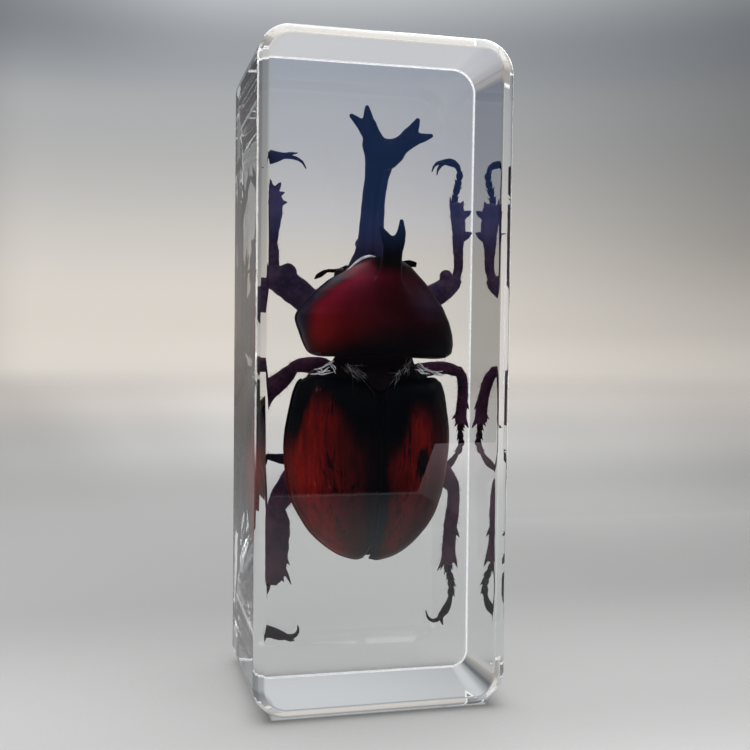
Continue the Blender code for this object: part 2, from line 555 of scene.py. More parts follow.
def make_elytra():
    """Wine-red flanks that run into a black middle, with dark and light streaks along the covers; the red is partly the
    cuticle's own and partly a painted glow where light falls on the flanks.
    """
    m, nt, b = new_mat("elytra_cuticle")
    x, z = body_coords(nt, 0.5)
    # half the width of both covers at this height
    q = math_node(nt, "DIVIDE", math_node(nt, "SUBTRACT", z, 43.0), 21.8)
    hw = math_node(nt, "MULTIPLY", math_node(nt, "SQRT", math_node(nt, "MAXIMUM", math_node(nt, "SUBTRACT", 1.0, math_node(nt, "MULTIPLY", q, q)), 0.04)), 14.4)
    long_a = noise(nt, 900, 4, 0.65, stretch=(1, 1, 0.10))
    long_b = noise(nt, 2300, 3, 0.6, stretch=(1, 1, 0.06), shift=(0.2, 0, 0.4))
    spot = noise(nt, 330, 4, 0.62, stretch=(1, 1, 0.45), shift=(0.05, 0.4, 0.1))
    warp = math_node(nt, "MULTIPLY_ADD", noise(nt, 160, 3, 0.6, stretch=(1, 1, 0.5)), 0.16, -0.08)
    warp = math_node(nt, "ADD", warp, math_node(nt, "MULTIPLY_ADD", spot, 0.16, -0.08))
    s = math_node(nt, "ADD", math_node(nt, "DIVIDE", x, hw), warp)
    # how red, from the left margin to the right one: near the shoulders, and from the middle down; partly own colour,
    # partly a painted glow of the lit flanks
    upper = curve(nt, s, [(-1.0, 0.028), (-0.80, 0.105), (-0.60, 0.105), (-0.42, 0.036), (-0.24, 0.008), (0.0, 0.001), (0.22, 0.003), (0.38, 0.055), (0.54, 0.135), (0.74, 0.016), (1.0, 0.010)])
    lower = curve(nt, s, [(-1.0, 0.115), (-0.90, 0.185), (-0.74, 0.165), (-0.56, 0.080), (-0.30, 0.036), (-0.10, 0.004), (0.09, 0.001), (0.24, 0.062), (0.40, 0.100), (0.58, 0.060), (0.72, 0.034), (0.90, 0.050)])
    red_and_painted_glow = mix(nt, smooth_step(nt, z, 46.5, 39.5), upper, lower)
    top = curve(nt, s, [(-0.98, 46.6), (-0.78, 53.6), (-0.60, 52.8), (-0.20, 46.5), (0.20, 44.5), (0.46, 51.0)])
    red_and_painted_glow = math_node(nt, "MULTIPLY", red_and_painted_glow, smooth_step(nt, math_node(nt, "SUBTRACT", z, top), 0.0, -6.2))
    red_and_painted_glow = math_node(nt, "MULTIPLY", red_and_painted_glow, curve(nt, z, [(22.0, 0.45), (26.0, 0.80), (35.0, 0.80), (38.0, 1.0)]))
    # a torn black patch on the right cover
    bx = math_node(nt, "DIVIDE", math_node(nt, "SUBTRACT", x, math_node(nt, "MULTIPLY_ADD", math_node(nt, "SUBTRACT", z, 39.6), 0.22, 7.7)), 1.15)
    bz = math_node(nt, "DIVIDE", math_node(nt, "SUBTRACT", z, 39.8), 2.5)
    blot = math_node(nt, "ADD", math_node(nt, "ADD", math_node(nt, "MULTIPLY", bx, bx), math_node(nt, "MULTIPLY", bz, bz)), math_node(nt, "MULTIPLY_ADD", spot, 6.0, -3.0))
    red_and_painted_glow = math_node(nt, "MULTIPLY", red_and_painted_glow, math_node(nt, "MULTIPLY_ADD", smooth_step(nt, blot, 0.5, 1.6), 0.94, 0.06))
    # streaks and worn patches
    red_and_painted_glow = math_node(nt, "MULTIPLY", red_and_painted_glow, math_node(nt, "MULTIPLY_ADD", smooth_step(nt, long_a, 0.36, 0.60), 0.62, 0.66))
    red_and_painted_glow = math_node(nt, "MULTIPLY", red_and_painted_glow, math_node(nt, "MULTIPLY_ADD", smooth_step(nt, spot, 0.34, 0.54), 0.40, 0.76))
    marks = math_node(nt, "MULTIPLY", smooth_step(nt, long_b, 0.53, 0.60), smooth_step(nt, spot, 0.44, 0.54))
    marks = math_node(nt, "MULTIPLY", marks, tri(nt, math_node(nt, "ABSOLUTE", s), 0.44, 0.24, 0.12))
    red_and_painted_glow = math_node(nt, "MULTIPLY", red_and_painted_glow, math_node(nt, "MULTIPLY_ADD", marks, -0.88, 1.0))
    middle = math_node(nt, "MULTIPLY", tri(nt, s, 0.0, 0.10, 0.06), smooth_step(nt, z, 35.0, 31.0))
    col = nt.nodes.new("ShaderNodeCombineColor")
    nt.links.new(math_node(nt, "ADD", red_and_painted_glow, 0.0008), col.inputs[0])
    nt.links.new(math_node(nt, "ADD", math_node(nt, "MULTIPLY_ADD", red_and_painted_glow, 0.034, 0.0010), math_node(nt, "MULTIPLY", middle, 0.006)), col.inputs[1])
    nt.links.new(math_node(nt, "ADD", math_node(nt, "MULTIPLY_ADD", red_and_painted_glow, 0.016, 0.0016), math_node(nt, "MULTIPLY", middle, 0.013)), col.inputs[2])
    pale = math_node(nt, "MULTIPLY", smooth_step(nt, long_b, 0.37, 0.31), smooth_step(nt, spot, 0.50, 0.60))
    pale = math_node(nt, "MULTIPLY", pale, tri(nt, s, -0.62, 0.28, 0.12))
    nt.links.new(mix(nt, math_node(nt, "MULTIPLY", pale, 0.22), col.outputs[0], (0.42, 0.16, 0.12)), b.inputs["Base Color"])
    nt.links.new(math_node(nt, "MULTIPLY_ADD", spot, 0.25, 0.24), b.inputs["Roughness"])
    b.inputs["Specular IOR Level"].default_value = 0.30
    b.inputs["IOR"].default_value = SEALED_IOR
    nrm = bump(nt, pits(nt, 1900.0), 0.00004, 0.6)
    nrm = bump(nt, long_a, 0.00005, 0.5, nrm)
    nt.links.new(nrm, b.inputs["Normal"])
    return m


def make_pronotum():
    """Crimson along the left, fading to black on the right and behind, with a violet edge: the crimson is partly the
    cuticle's own and partly a painted glow of the lit left side.
    """
    m, nt, b = new_mat("pronotum_cuticle")
    x, z = body_coords(nt, 0.0)
    wob = math_node(nt, "MULTIPLY_ADD", noise(nt, 150, 3, 0.55), 1.8, -0.9)
    edge = curve(nt, z, [(64.0, -11.4), (66.4, -11.0), (68.4, -9.0), (71.5, -5.4)])
    u = math_node(nt, "SUBTRACT", math_node(nt, "ADD", x, wob), edge)
    inside = math_node(nt, "MAXIMUM", u, 0.0)
    red_and_painted_glow = math_node(nt, "EXPONENT", math_node(nt, "MULTIPLY", inside, -1.0 / 5.2))
    red_and_painted_glow = math_node(nt, "MULTIPLY", red_and_painted_glow, smooth_step(nt, u, -1.0, 2.0))
    hind = math_node(nt, "SUBTRACT", z, math_node(nt, "MULTIPLY", math_node(nt, "MINIMUM", inside, 12.0), 0.22))
    red_and_painted_glow = math_node(nt, "MULTIPLY", red_and_painted_glow, smooth_step(nt, hind, 56.7, 62.4))
    fine = noise(nt, 700, 4, 0.6, shift=(0.1, 0.2, 0.3))
    red_and_painted_glow = math_node(nt, "MULTIPLY", red_and_painted_glow, math_node(nt, "MULTIPLY_ADD", fine, 0.5, 0.75))
    body = math_node(nt, "MULTIPLY", smooth_step(nt, z, 70.6, 73.4), smooth_step(nt, x, -1.5, 0.0))     # the horn itself is black
    body = math_node(nt, "SUBTRACT", 1.0, math_node(nt, "MAXIMUM", body, smooth_step(nt, z, 74.6, 75.6)))
    red_and_painted_glow = math_node(nt, "MULTIPLY", red_and_painted_glow, body)
    faint = math_node(nt, "MULTIPLY", smooth_step(nt, x, 13.5, 9.0), math_node(nt, "MULTIPLY", smooth_step(nt, z, 60.0, 65.0), body))
    base = mix(nt, math_node(nt, "MULTIPLY", faint, 0.9), (0.0020, 0.0012, 0.0018), (0.0090, 0.0016, 0.0026))
    violet = smooth_step(nt, u, 1.0, -1.4)
    base = mix(nt, math_node(nt, "MULTIPLY", violet, 0.9), base, (0.020, 0.0130, 0.032))
    # painted violet sheen on the upper right of the dome
    sheen = math_node(nt, "MULTIPLY", tri(nt, x, 8.8, 1.8, 3.0), tri(nt, z, 67.2, 1.8, 2.6))
    base = mix(nt, math_node(nt, "MULTIPLY", sheen, 0.6), base, (0.022, 0.0090, 0.036))
    hue = mix(nt, smooth_step(nt, z, 70.0, 61.0), (0.215, 0.0050, 0.026), (0.250, 0.0060, 0.0060))
    nt.links.new(mix(nt, red_and_painted_glow, base, hue), b.inputs["Base Color"])
    nt.links.new(math_node(nt, "MULTIPLY_ADD", fine, 0.20, 0.26), b.inputs["Roughness"])
    b.inputs["Specular IOR Level"].default_value = 0.30
    b.inputs["IOR"].default_value = SEALED_IOR
    nrm = bump(nt, pits(nt, 2100.0), 0.00003, 0.5)
    nrm = bump(nt, fine, 0.00003, 0.4, nrm)
    nt.links.new(nrm, b.inputs["Normal"])
    return m


MAT["elytra"] = make_elytra()
MAT["pronotum"] = make_pronotum()


def make_hair(name, a, b, rough=0.45, spec=0.3):
    m, nt, bs = new_mat(name)
    nt.links.new(mix(nt, smooth_step(nt, noise(nt, 900, 3, 0.6), 0.38, 0.62), a, b), bs.inputs["Base Color"])
    bs.inputs["Roughness"].default_value = rough
    bs.inputs["Specular IOR Level"].default_value = spec
    return m


MAT["hair_gold"] = make_hair("hair_golden", (0.16, 0.065, 0.018), (0.34, 0.16, 0.05))
MAT["hair_dark"] = make_hair("hair_dark", (0.012, 0.006, 0.005), (0.035, 0.015, 0.010))
MAT["hair_silver"] = make_hair("hair_silver", (0.22, 0.22, 0.23), (0.80, 0.81, 0.84))
# near-white of the trapped air films: a painted silvery reflection
MAT["silver"] = make_hair("silvery_film_painted_reflection", (0.55, 0.56, 0.58), (0.97, 0.97, 0.98), rough=0.3, spec=0.5)


# ------------------------------------------------------------------------------------------------ the cast block


def build_block():
    rings, normals = [], []

    def ring(inset, y, a, n=20):
        """One outline of the block at depth y, drawn in by inset; a is the direction of the surface off the front face."""
        f = (y + BY / 2) / BY
        pts, nrm = [], []
        for sx, sz, a0 in ((1, 1, 0), (-1, 1, 90), (-1, -1, 180), (1, -1, 270)):
            R = CORNER_R + (BACK_CORNER[sz] - CORNER_R) * f
            slope = (BACK_CORNER[sz] - CORNER_R) / BY
            w = RIM_RIGHT if sx > 0 else RIM_LEFT
            cx, cz = sx * (BX / 2 - R), BZ - R if sz > 0 else R
            for i in range(n + 1):
                p = math.radians(a0 + 90 * i / n)
                c, q = math.cos(p), math.sin(p)
                pts.append((cx + (R - inset * w) * c, y, cz + (R - inset) * q))
                lean = slope * ((1 - abs(c)) * abs(c) + (1 - abs(q)) * abs(q))
                v = Vector((math.sin(a) * c / w, -math.cos(a) + math.sin(a) * lean, math.sin(a) * q)).normalized()
                nrm.append(tuple(v))
        rings.append(pts)
        normals.append(nrm)

    yf, yb = -BY / 2, BY / 2
    rim = [(0.0, 0.0, 0.0)]
    for a0, a1, r, n in FRONT_RIM:
        for i in range(n):
            p, q = math.radians(a0 + (a1 - a0) * i / n), math.radians(a0 + (a1 - a0) * (i + 1) / n)
            rim.append((rim[-1][0] + r * (math.sin(q) - math.sin(p)), rim[-1][1] + r * (math.cos(p) - math.cos(q)), q))
    for out, back, a in rim:
        ring(rim[-1][0] - out, yf + back, a)
    for i in range(7):
        a = math.radians(90 * i / 6)
        ring(BACK_R * (1 - math.cos(a)), yb - BACK_R + BACK_R * math.sin(a), math.pi / 2 + a)
    m = len(rings[0])
    verts = [p for r in rings for p in r]
    nrm = [q for r in normals for q in r]
    faces = [tuple(range(m))]
    for i in range(len(rings) - 1):
        for j in range(m):
            k = (j + 1) % m
            faces.append((i * m + j, (i + 1) * m + j, (i + 1) * m + k, i * m + k))
    faces.append(tuple((len(rings) - 1) * m + j for j in range(m - 1, -1, -1)))
    ob = piece("resin_casting", verts, faces, MAT["resin"], normals=nrm)
    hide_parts("resin_block")

    # the edge of the ground back is left frosted: a fine pale line just under the surface, all round
    path = []
    for sx, sz, a0 in ((1, 1, 0), (-1, 1, 90), (-1, -1, 180), (1, -1, 270)):
        R = BACK_CORNER[sz]
        for i in range(21):
            p = math.radians(a0 + 90 * i / 20)
            d = R - 0.125
            path.append((sx * (BX / 2 - R) + d * math.cos(p), yb - 0.125, (BZ - R if sz > 0 else R) + d * math.sin(p)))
    k, sides = len(path), 8
    path = np.array(path)
    t = np.roll(path, -1, 0) - np.roll(path, 1, 0)
    t /= np.linalg.norm(t, axis=1)[:, None]
    verts, faces = [], []
    for i in range(k):
        out = np.cross(t[i], (0, 1, 0))
        for j in range(sides):
            a = 2 * math.pi * j / sides
            verts.append(path[i] + 0.082 * (1 + 0.10 * math.sin(2.3 * i + 0.4 * j)) * (math.cos(a) * out + math.sin(a) * np.array((0, 1, 0))))
    for i in range(k):
        for j in range(sides):
            a, b, i2 = j, (j + 1) % sides, (i + 1) % k
            faces.append((i * sides + a, i * sides + b, i2 * sides + b, i2 * sides + a))
    piece("ground_edge", verts, [q[::-1] for q in faces], MAT["frost"])


build_block()

# ------------------------------------------------------------------------------------------------ the beetle
# The back (dorsal side) faces the block's front, the legs lie near its rear face, the head is up.
AX = 0.15                                # the beetle's middle plane


def roll_body(v, roll_deg=3.0, lean_deg=0.0, centre=(AX, 2.0, 57.0)):
    v = turn(v, roll_deg, "Z", centre)
    return turn(v, lean_deg, "Y", centre)


def interp(z, table):
    """Smooth interpolation through (position, value) rows sorted by position."""
    t = np.array(sorted(table), float)
    x, y = t[:, 0], t[:, 1]
    d = np.gradient(y, x)
    z = np.clip(np.asarray(z, float), x[0], x[-1])
    i = np.clip(np.searchsorted(x, z) - 1, 0, len(x) - 2)
    h = x[i + 1] - x[i]
    s = (z - x[i]) / h
    return ((1 + 2 * s) * (1 - s) ** 2 * y[i] + s * (1 - s) ** 2 * h * d[i]
            + s * s * (3 - 2 * s) * y[i + 1] + s * s * (s - 1) * h * d[i + 1])


# --- wing covers -------------------------------------------------------------------------------------------------
EL_RIM = {
    1: [(12.1, 54.6), (13.35, 51.4), (14.25, 47.0), (14.6, 43.0), (14.3, 38.5), (13.35, 33.4), (11.6, 29.3), (8.7, 25.9), (5.2, 23.6), (2.2, 22.8), (0.5, 23.2)],
    -1: [(12.1, 54.6), (13.35, 51.4), (14.25, 47.0), (14.6, 43.0), (14.3, 38.5), (13.3, 33.6), (11.3, 29.9), (8.5, 26.4), (5.1, 24.0), (2.1, 23.0), (0.5, 23.3)]}


def build_elytron(side):
    nu, nv = 96, 170
    rim = spline([(p[0], 0, p[1]) for p in EL_RIM[side]], nv)
    v = np.linspace(0, 1, nv)
    # the inner edge runs down the middle and turns off at the tip, which leaves the small notch between the two
    zs = 54.2 - (54.2 - 24.9) * v ** 0.98
    seam = side * 0.42 * v ** 2           # the seam wanders a little to the right towards the tip
    xs = 0.06 + seam + 0.22 * np.clip((v - 0.94) / 0.06, 0, 1) ** 2
    # the front edge is cut back beside the scutellum
    y_edge = interp(v, [(0, 2.6), (0.15, 3.3), (0.5, 3.9), (0.75, 3.4), (0.9, 2.7), (1.0, 2.2)])
    y_mid = interp(zs, [(24.6, 0.9), (26, -1.1), (28, -3.0), (31, -4.9), (35, -6.4), (40, -7.35), (45, -7.6), (50, -7.0), (53, -6.1), (54.2, -5.5)])
    a = np.linspace(0, 1, nu)
    A, V = np.meshgrid(a, v, indexing="ij")
    u = np.sin(A * math.pi / 2) ** (2 / 2.25)
    h = np.cos(A * math.pi / 2) ** (2 / 1.95)
    X = xs[None] + (rim[None, :, 0] - xs[None]) * u
    Z = zs[None] + (rim[None, :, 2] - zs[None]) * u ** 1.15
    Y = y_edge[None] + (y_mid[None] - y_edge[None]) * h
    # front edge: rounded shoulder, and a step down beside the scutellum
    fall = np.exp(-(V / 0.022) ** 2)
    Y = Y + 0.75 * fall * (1 - 0.6 * u)
    Z = Z - 0.7 * np.exp(-((X - 0.0) / 2.6) ** 2) * np.exp(-(V / 0.10) ** 2)
    Z = Z - 0.8 * fall * np.clip((u - 0.8) / 0.2, 0, 1) ** 2

    def lump(x0, z0, rx, rz, amp):
        return amp * np.exp(-((X - x0) / rx) ** 2 - ((Z - z0) / rz) ** 2)

    out = np.zeros_like(X)
    out += lump(9.7, 51.6, 1.9, 2.0, 0.55)           # shoulder bump
    out += lump(7.6, 29.6, 2.6, 2.2, 0.30)           # bump above the tip
    out += 0.10 * np.exp(-((X - seam[None] - 0.25) / 0.32) ** 2)  # raised seam
    out -= 0.08 * np.exp(-((X - seam[None] - 1.05) / 0.28) ** 2) * (1 - np.exp(-((V - 1) / 0.1) ** 2))
    for k, x0 in enumerate((3.6, 6.4, 9.1, 11.3)):   # faint ribs that fade out behind
        xr = x0 * (0.55 + 0.45 * rim[None, :, 0] / 14.6)      # they run in towards the tip
        out += 0.055 * np.exp(-((X - xr) / 0.55) ** 2) * np.clip((Z - 27) / 8, 0, 1) * (0.5 + 0.5 * np.cos((Z - 40) / 9.0 + k))
    out += 0.22 * np.exp(-((A - 0.955) / 0.018) ** 2)  # rolled outer margin
    out -= 0.12 * np.exp(-((A - 0.915) / 0.02) ** 2)
    out += 0.05 * wobble(X, Y, Z, 6.0, 11 + side) + 0.018 * wobble(X, Y, Z, 1.5, 17 + side)
    P = np.stack([X, Y, Z], -1)

    def normals(P):
        du, dv = np.gradient(P, axis=0), np.gradient(P, axis=1)
        n = np.cross(du, dv)
        n /= np.linalg.norm(n, axis=-1)[..., None] + 1e-12
        return n

    n = normals(P)
    if n[nu // 2, nv // 2, 1] > 0:
        n = -n
    P = P + n * out[..., None]
    n = normals(P)
    if n[nu // 2, nv // 2, 1] > 0:
        n = -n
    edge = np.minimum(np.minimum(A, 1 - A) * 12, np.minimum(V, 1 - V) * 20)
    thick = 0.22 + 0.3 * np.clip(edge, 0, 1)
    Q = P - n * thick[..., None]
    P[..., 0] = np.maximum(P[..., 0], 0.03 + seam[None])
    Q[..., 0] = np.maximum(Q[..., 0], 0.03 + seam[None])
    verts = np.vstack([P.reshape(-1, 3), Q.reshape(-1, 3)])
    i, j = np.meshgrid(np.arange(nu - 1), np.arange(nv - 1), indexing="ij")
    i, j = i.ravel(), j.ravel()
    q = np.stack([i * nv + j, i * nv + j + 1, (i + 1) * nv + j + 1, (i + 1) * nv + j], 1)
    m = nu * nv
    loop = [(0, k) for k in range(nv)] + [(k, nv - 1) for k in range(1, nu)] + [(nu - 1, k) for k in range(nv - 2, -1, -1)] + [(k, 0) for k in range(nu - 2, 0, -1)]
    loop = np.array([p * nv + r for p, r in loop])
    nxt = np.roll(loop, -1)
    strip = np.stack([loop, nxt, nxt + m, loop + m], 1)
    e1, e2 = P[1, 0] - P[0, 0], P[0, 1] - P[0, 0]
    faces = np.vstack([q[:, ::-1], q + m, strip])
    verts[:, 0] *= side
    c = P[nu // 2, nv // 2]
    f0 = verts[q[(nu // 2) * (nv - 1) + nv // 2][::-1]]
    nf = np.cross(f0[1] - f0[0], f0[2] - f0[0])
    if nf[1] > 0:
        faces = faces[:, ::-1]
    verts[:, 0] += AX
    # the tip hooks a little, the covers stand a hair apart
    verts = roll_body(verts, 2.0, 0.9, (AX, 0, 54))
    return verts, faces


for side, name in ((-1, "elytron_left"), (1, "elytron_right")):
    v, f = build_elytron(side)
    piece(name, v, f, MAT["elytra"])


# --- fore body shield with its short forked horn -------------------------------------------------------------------
# outline of the fore body seen from the back, left and right of the middle: (height, edge); it leans, so the sides differ
PRO_L = [(56.0, -8.6), (57.4, -9.6), (57.87, -10.33), (58.37, -10.85), (60.56, -11.73), (63.08, -12.6), (64.26, -12.85), (64.96, -12.75), (65.95, -12.12),
         (68.87, -9.41), (70.78, -7.19), (72.36, -4.62), (73.96, -2.0), (74.70, 0.07), (75.6, 1.2)]
PRO_R = [(56.0, 11.6), (57.23, 12.81), (57.68, 13.6), (58.55, 14.2), (59.95, 14.41), (61.70, 14.20), (63.96, 13.62), (66.37, 12.49),
         (69.62, 10.09), (71.32, 8.63), (73.17, 6.82), (74.16, 5.38), (75.0, 3.6), (75.6, 2.6)]


def build_pronotum():
    c = Clay((-15.5, -15.0, 55.5), (16.5, 10.5, 83.0), 0.2)

    def spread(z):
        """How far the plain dome is shifted and stretched sideways at this height to meet the outline."""
        xl, xr = np.interp(z, *np.array(PRO_L).T), np.interp(z, *np.array(PRO_R).T)
        zz = z - 62.4
        dz = np.where(zz > 0, (np.abs(zz) / 12.6) ** 1.85, (np.abs(zz) / 9.0) ** 2.2)
        w0 = 13.35 * np.maximum(1 - dz, 0.0) ** (1 / 2.05)
        return (xl + xr) / 2, np.maximum((xr - xl) / 2, 0.8), np.maximum(w0, 2.0), dz

    def dome(x, y, z):
        xc, hw, w0, dz = spread(z)
        dx = np.abs(x - xc) * w0 / hw / 13.35
        yy = y - 1.6
        hy = np.where(yy < 0, 11.9, 6.4)
        dy = (np.abs(yy) / hy) ** np.where(yy < 0, 2.15, 2.4)
        r = (dx ** 2.05 + dy + dz) ** (1 / 2.1)
        return (r - 1) * 8.0

    c.field(dome)

    def hind(x):
        t = np.clip((x - 3.0) / 9.0, 0, 1)
        return 57.82 - 0.30 * t * t * (3 - 2 * t)

    w = tuple(slice(0, int(q)) for q in c.n)
    x, y, z = c._xyz(w)
    rear = hind(x) - z + 0 * y
    c.F = (-smin(-c.F, -rear.astype(np.float32), 1.2)).astype(np.float32)
    # rolled margin round the sides, thinning out at both ends
    for tab in (PRO_L, PRO_R):
        rows = []
        for t in np.linspace(0, 1, 15):
            zz = 58.9 + (71.8 - 58.9) * t
            edge = float(np.interp(zz, *np.array(tab).T))
            rows.append((edge, 1.6 + 0.5 * math.sin(t * math.pi), zz, 0.10 + 0.24 * math.sin(math.pi * min(max(t, 0.0), 1.0)) ** 0.5))
        c.tube(rows, k=0.35)
    # fine raised line along the hind edge
    rows = []
    for q in np.linspace(-9.2, 12.0, 24):
        xc, hw, w0, dz = spread(58.3)
        dy = max(0.0, 1 - (abs(q - xc) * w0 / hw / 13.35) ** 2.05 - dz)
        rows.append((q, 1.6 - 11.9 * dy ** (1 / 2.15) + 0.28, float(hind(q)) + 0.42, 0.24))
    c.tube(rows, k=0.3)
    # opening for the head
    c.ball((AX, 6.2, 73.2), (5.2, 4.6, 4.4), k=0.8, cut=True)
    # hollow for the front hips
    for s in (-1, 1):
        c.ball((AX + s * 4.6, 8.6, 64.3), (3.6, 2.3, 2.7), k=0.8, cut=True)
    # short horn: broad root, flattened shaft leaning forward, two points
    root = [(AX + 1.2, -6.0, 66.0, 2.9, 2.6), (AX + 1.2, -8.4, 69.4, 2.3, 1.9), (AX + 1.3, -9.7, 72.6, 1.82, 1.35), (AX + 1.4, -10.7, 75.4, 1.68, 1.05), (AX + 1.45, -11.2, 76.7, 1.7, 0.9)]
    c.tube(root, side=(1, 0, 0), k=1.6)
    c.tube([(AX + 1.0, -11.0, 76.1, 1.05, 0.85), (AX + 0.05, -11.5, 77.5, 0.80, 0.66), (AX - 0.85, -11.9, 78.85, 0.36, 0.34)], side=(1, 0, 0), k=0.5)
    c.tube([(AX + 2.0, -11.0, 76.2, 1.05, 0.85), (AX + 2.62, -11.6, 78.1, 0.82, 0.66), (AX + 2.6, -12.0, 80.15, 0.36, 0.34)], side=(1, 0, 0), k=0.5)
    c.roughen(0.03, 3.2, 5)
    return c.skin()


v, f = build_pronotum()
piece("pronotum", v, f, MAT["pronotum"])


# --- head with the long horn -----------------------------------------------------------------------------------------
def build_head():
    c = Clay((-8.5, -14.5, 66.0), (11.5, 13.5, 101.5), 0.16)
    c.ball((AX, 6.3, 70.6), (4.3, 3.6, 4.4))
    c.ball((AX, 7.2, 73.2), (3.0, 2.4, 3.0), k=1.2)
    # cheeks that carry the eyes
    for s in (-1, 1):
        c.tube([(AX + s * 1.5, 6.4, 71.6, 1.4, 1.2), (AX + s * 4.5, 6.8, 71.3, 1.0, 0.8)], side=(0, 0, 1), k=0.8)
    # shield in front of the mouth, with two lobes
    c.tube([(AX, 7.8, 72.5, 2.2, 1.1), (AX, 8.6, 75.6, 1.9, 0.7), (AX, 8.9, 77.2, 1.75, 0.5)], side=(1, 0, 0), k=0.8)
    for s in (-1, 1):
        c.ball((AX + s * 1.05, 8.9, 77.6), (0.95, 0.45, 0.9), k=0.4)
    # horn
    shaft = [(AX, 6.6, 72.2, 3.1, 2.3), (AX - 0.05, 5.7, 74.8, 2.75, 2.0), (AX + 0.05, 4.6, 77.6, 2.32, 1.75), (AX - 0.03, 3.0, 80.6, 2.13, 1.62),
             (AX - 0.15, 0.6, 84.4, 2.0, 1.5), (AX - 0.15, -2.2, 87.6, 2.07, 1.4), (AX + 0.02, -4.9, 90.3, 2.5, 1.3), (AX + 0.5, -6.8, 91.8, 3.0, 1.15)]
    c.tube(shaft, side=(1, 0, 0), k=1.2, n=46)
    # soft keel along the back of the horn, ending in a small ledge below the fork
    c.tube([(AX, 4.0, 73.6, 0.5), (AX, 2.5, 77.4, 0.42), (AX, 1.05, 80.4, 0.36), (AX - 0.1, -1.15, 84.0, 0.34), (AX - 0.1, -3.85, 87.4, 0.40), (AX, -5.6, 89.3, 0.34)], k=1.1)
    # fork: two broad blades, each ending in two points, the whole fork tilted to one side
    c.tube([(AX + 0.1, -6.2, 91.0, 1.9, 1.15), (AX - 1.55, -7.9, 93.4, 1.6, 1.0), (AX - 2.75, -9.0, 95.4, 1.4, 0.85)], side=(1, 0, 0.2), k=1.4)
    c.tube([(AX - 2.5, -8.9, 95.0, 1.15, 0.85), (AX - 2.85, -9.6, 96.8, 0.82, 0.66), (AX - 3.1, -10.1, 98.35, 0.36, 0.34)], side=(1, 0, 0), k=0.45)
    c.tube([(AX - 3.0, -8.8, 94.8, 1.1, 0.8), (AX - 4.5, -9.7, 96.0, 0.74, 0.62), (AX - 5.7, -10.3, 96.8, 0.36, 0.34)], side=(0, 0, 1), k=0.45)
    c.tube([(AX + 0.9, -6.4, 91.0, 1.9, 1.15), (AX + 2.8, -8.0, 92.6, 1.55, 1.0), (AX + 4.5, -9.1, 94.1, 1.5, 0.85)], side=(0.5, 0, -1), k=1.4)
    c.tube([(AX + 4.2, -9.0, 94.2, 1.15, 0.85), (AX + 4.95, -9.8, 95.6, 0.82, 0.66), (AX + 5.4, -10.3, 96.75, 0.36, 0.34)], side=(1, 0, -0.4), k=0.45)
    c.tube([(AX + 4.4, -9.0, 93.8, 1.15, 0.8), (AX + 6.3, -9.8, 94.0, 0.76, 0.62), (AX + 7.75, -10.3, 94.35, 0.36, 0.34)], side=(0, 0, 1), k=0.45)
    c.roughen(0.025, 2.4, 9)
    return c.skin()


v, f = build_head()
piece("head_and_horn", v, f, MAT["horn"])

# --- helpers for parts built from many short limbs --------------------------------------------------------------------
def sculpt(h, parts, rough=0.0, rough_size=1.5, seed=1, pad=0.6):
    """parts: ("tube", rows, side, k[, n]) and ("ball", centre, radii, k), and "cut_tube", "cut_ball"."""
    lo, hi = np.full(3, 1e9), np.full(3, -1e9)
    for p in parts:
        if p[0] == "tube":
            q = np.asarray(p[1], float)
            m = q[:, 3:].max() + pad
            lo, hi = np.minimum(lo, q[:, :3].min(0) - m), np.maximum(hi, q[:, :3].max(0) + m)
        elif p[0] == "ball":
            m = np.max(p[2]) + pad
            lo, hi = np.minimum(lo, np.array(p[1]) - m), np.maximum(hi, np.array(p[1]) + m)
    c = Clay(lo, hi, h)
    for p in parts:
        kind = p[0].replace("cut_", "")
        cut = p[0].startswith("cut_")
        if kind == "tube":
            c.tube(p[1], side=p[2], k=p[3], cut=cut, n=p[4] if len(p) > 4 else None)
        else:
            c.ball(p[1], p[2], k=p[3], cut=cut)
    if rough:
        c.roughen(rough, rough_size, seed)
    return c.skin()


def vertex_normals(v, f):
    a, b, c, d = (v[f[:, i]] for i in range(4))
    n = np.cross(c - a, d - b)
    out = np.zeros_like(v)
    for i in range(4):
        np.add.at(out, f[:, i], n)
    return out / (np.linalg.norm(out, axis=1)[:, None] + 1e-12)


def scatter(v, f, keep, count, seed):
    """Random surface points where keep(vertices, normals) holds."""
    n = vertex_normals(v, f)
    idx = np.flatnonzero(keep(v, n))
    rng = np.random.RandomState(seed)
    idx = rng.choice(idx, min(count, len(idx)), replace=False)
    return v[idx], n[idx]


def mirror_x(points, s):
    """Rows for the right side (s = 1) or, mirrored in the beetle's middle plane, for the left."""
    q = np.array(points, float)
    if s < 0:
        q[..., 0] = 2 * AX - q[..., 0]
    return q


# --- scutellum, mid body, hind body ------------------------------------------------------------------------------------
v, f = sculpt(0.12, [
    ("tube", [(AX, -4.6, 55.9, 3.0, 0.7), (AX, -5.8, 54.6, 2.6, 0.55), (AX, -6.45, 53.3, 1.65, 0.5), (AX, -6.95, 52.5, 0.7, 0.35)], (1, 0, 0), 0.3)], 0.02, 1.2, 3)
piece("scutellum", roll_body(v, 2.0, 0.9, (AX, 0, 54)), f, MAT["dark"])


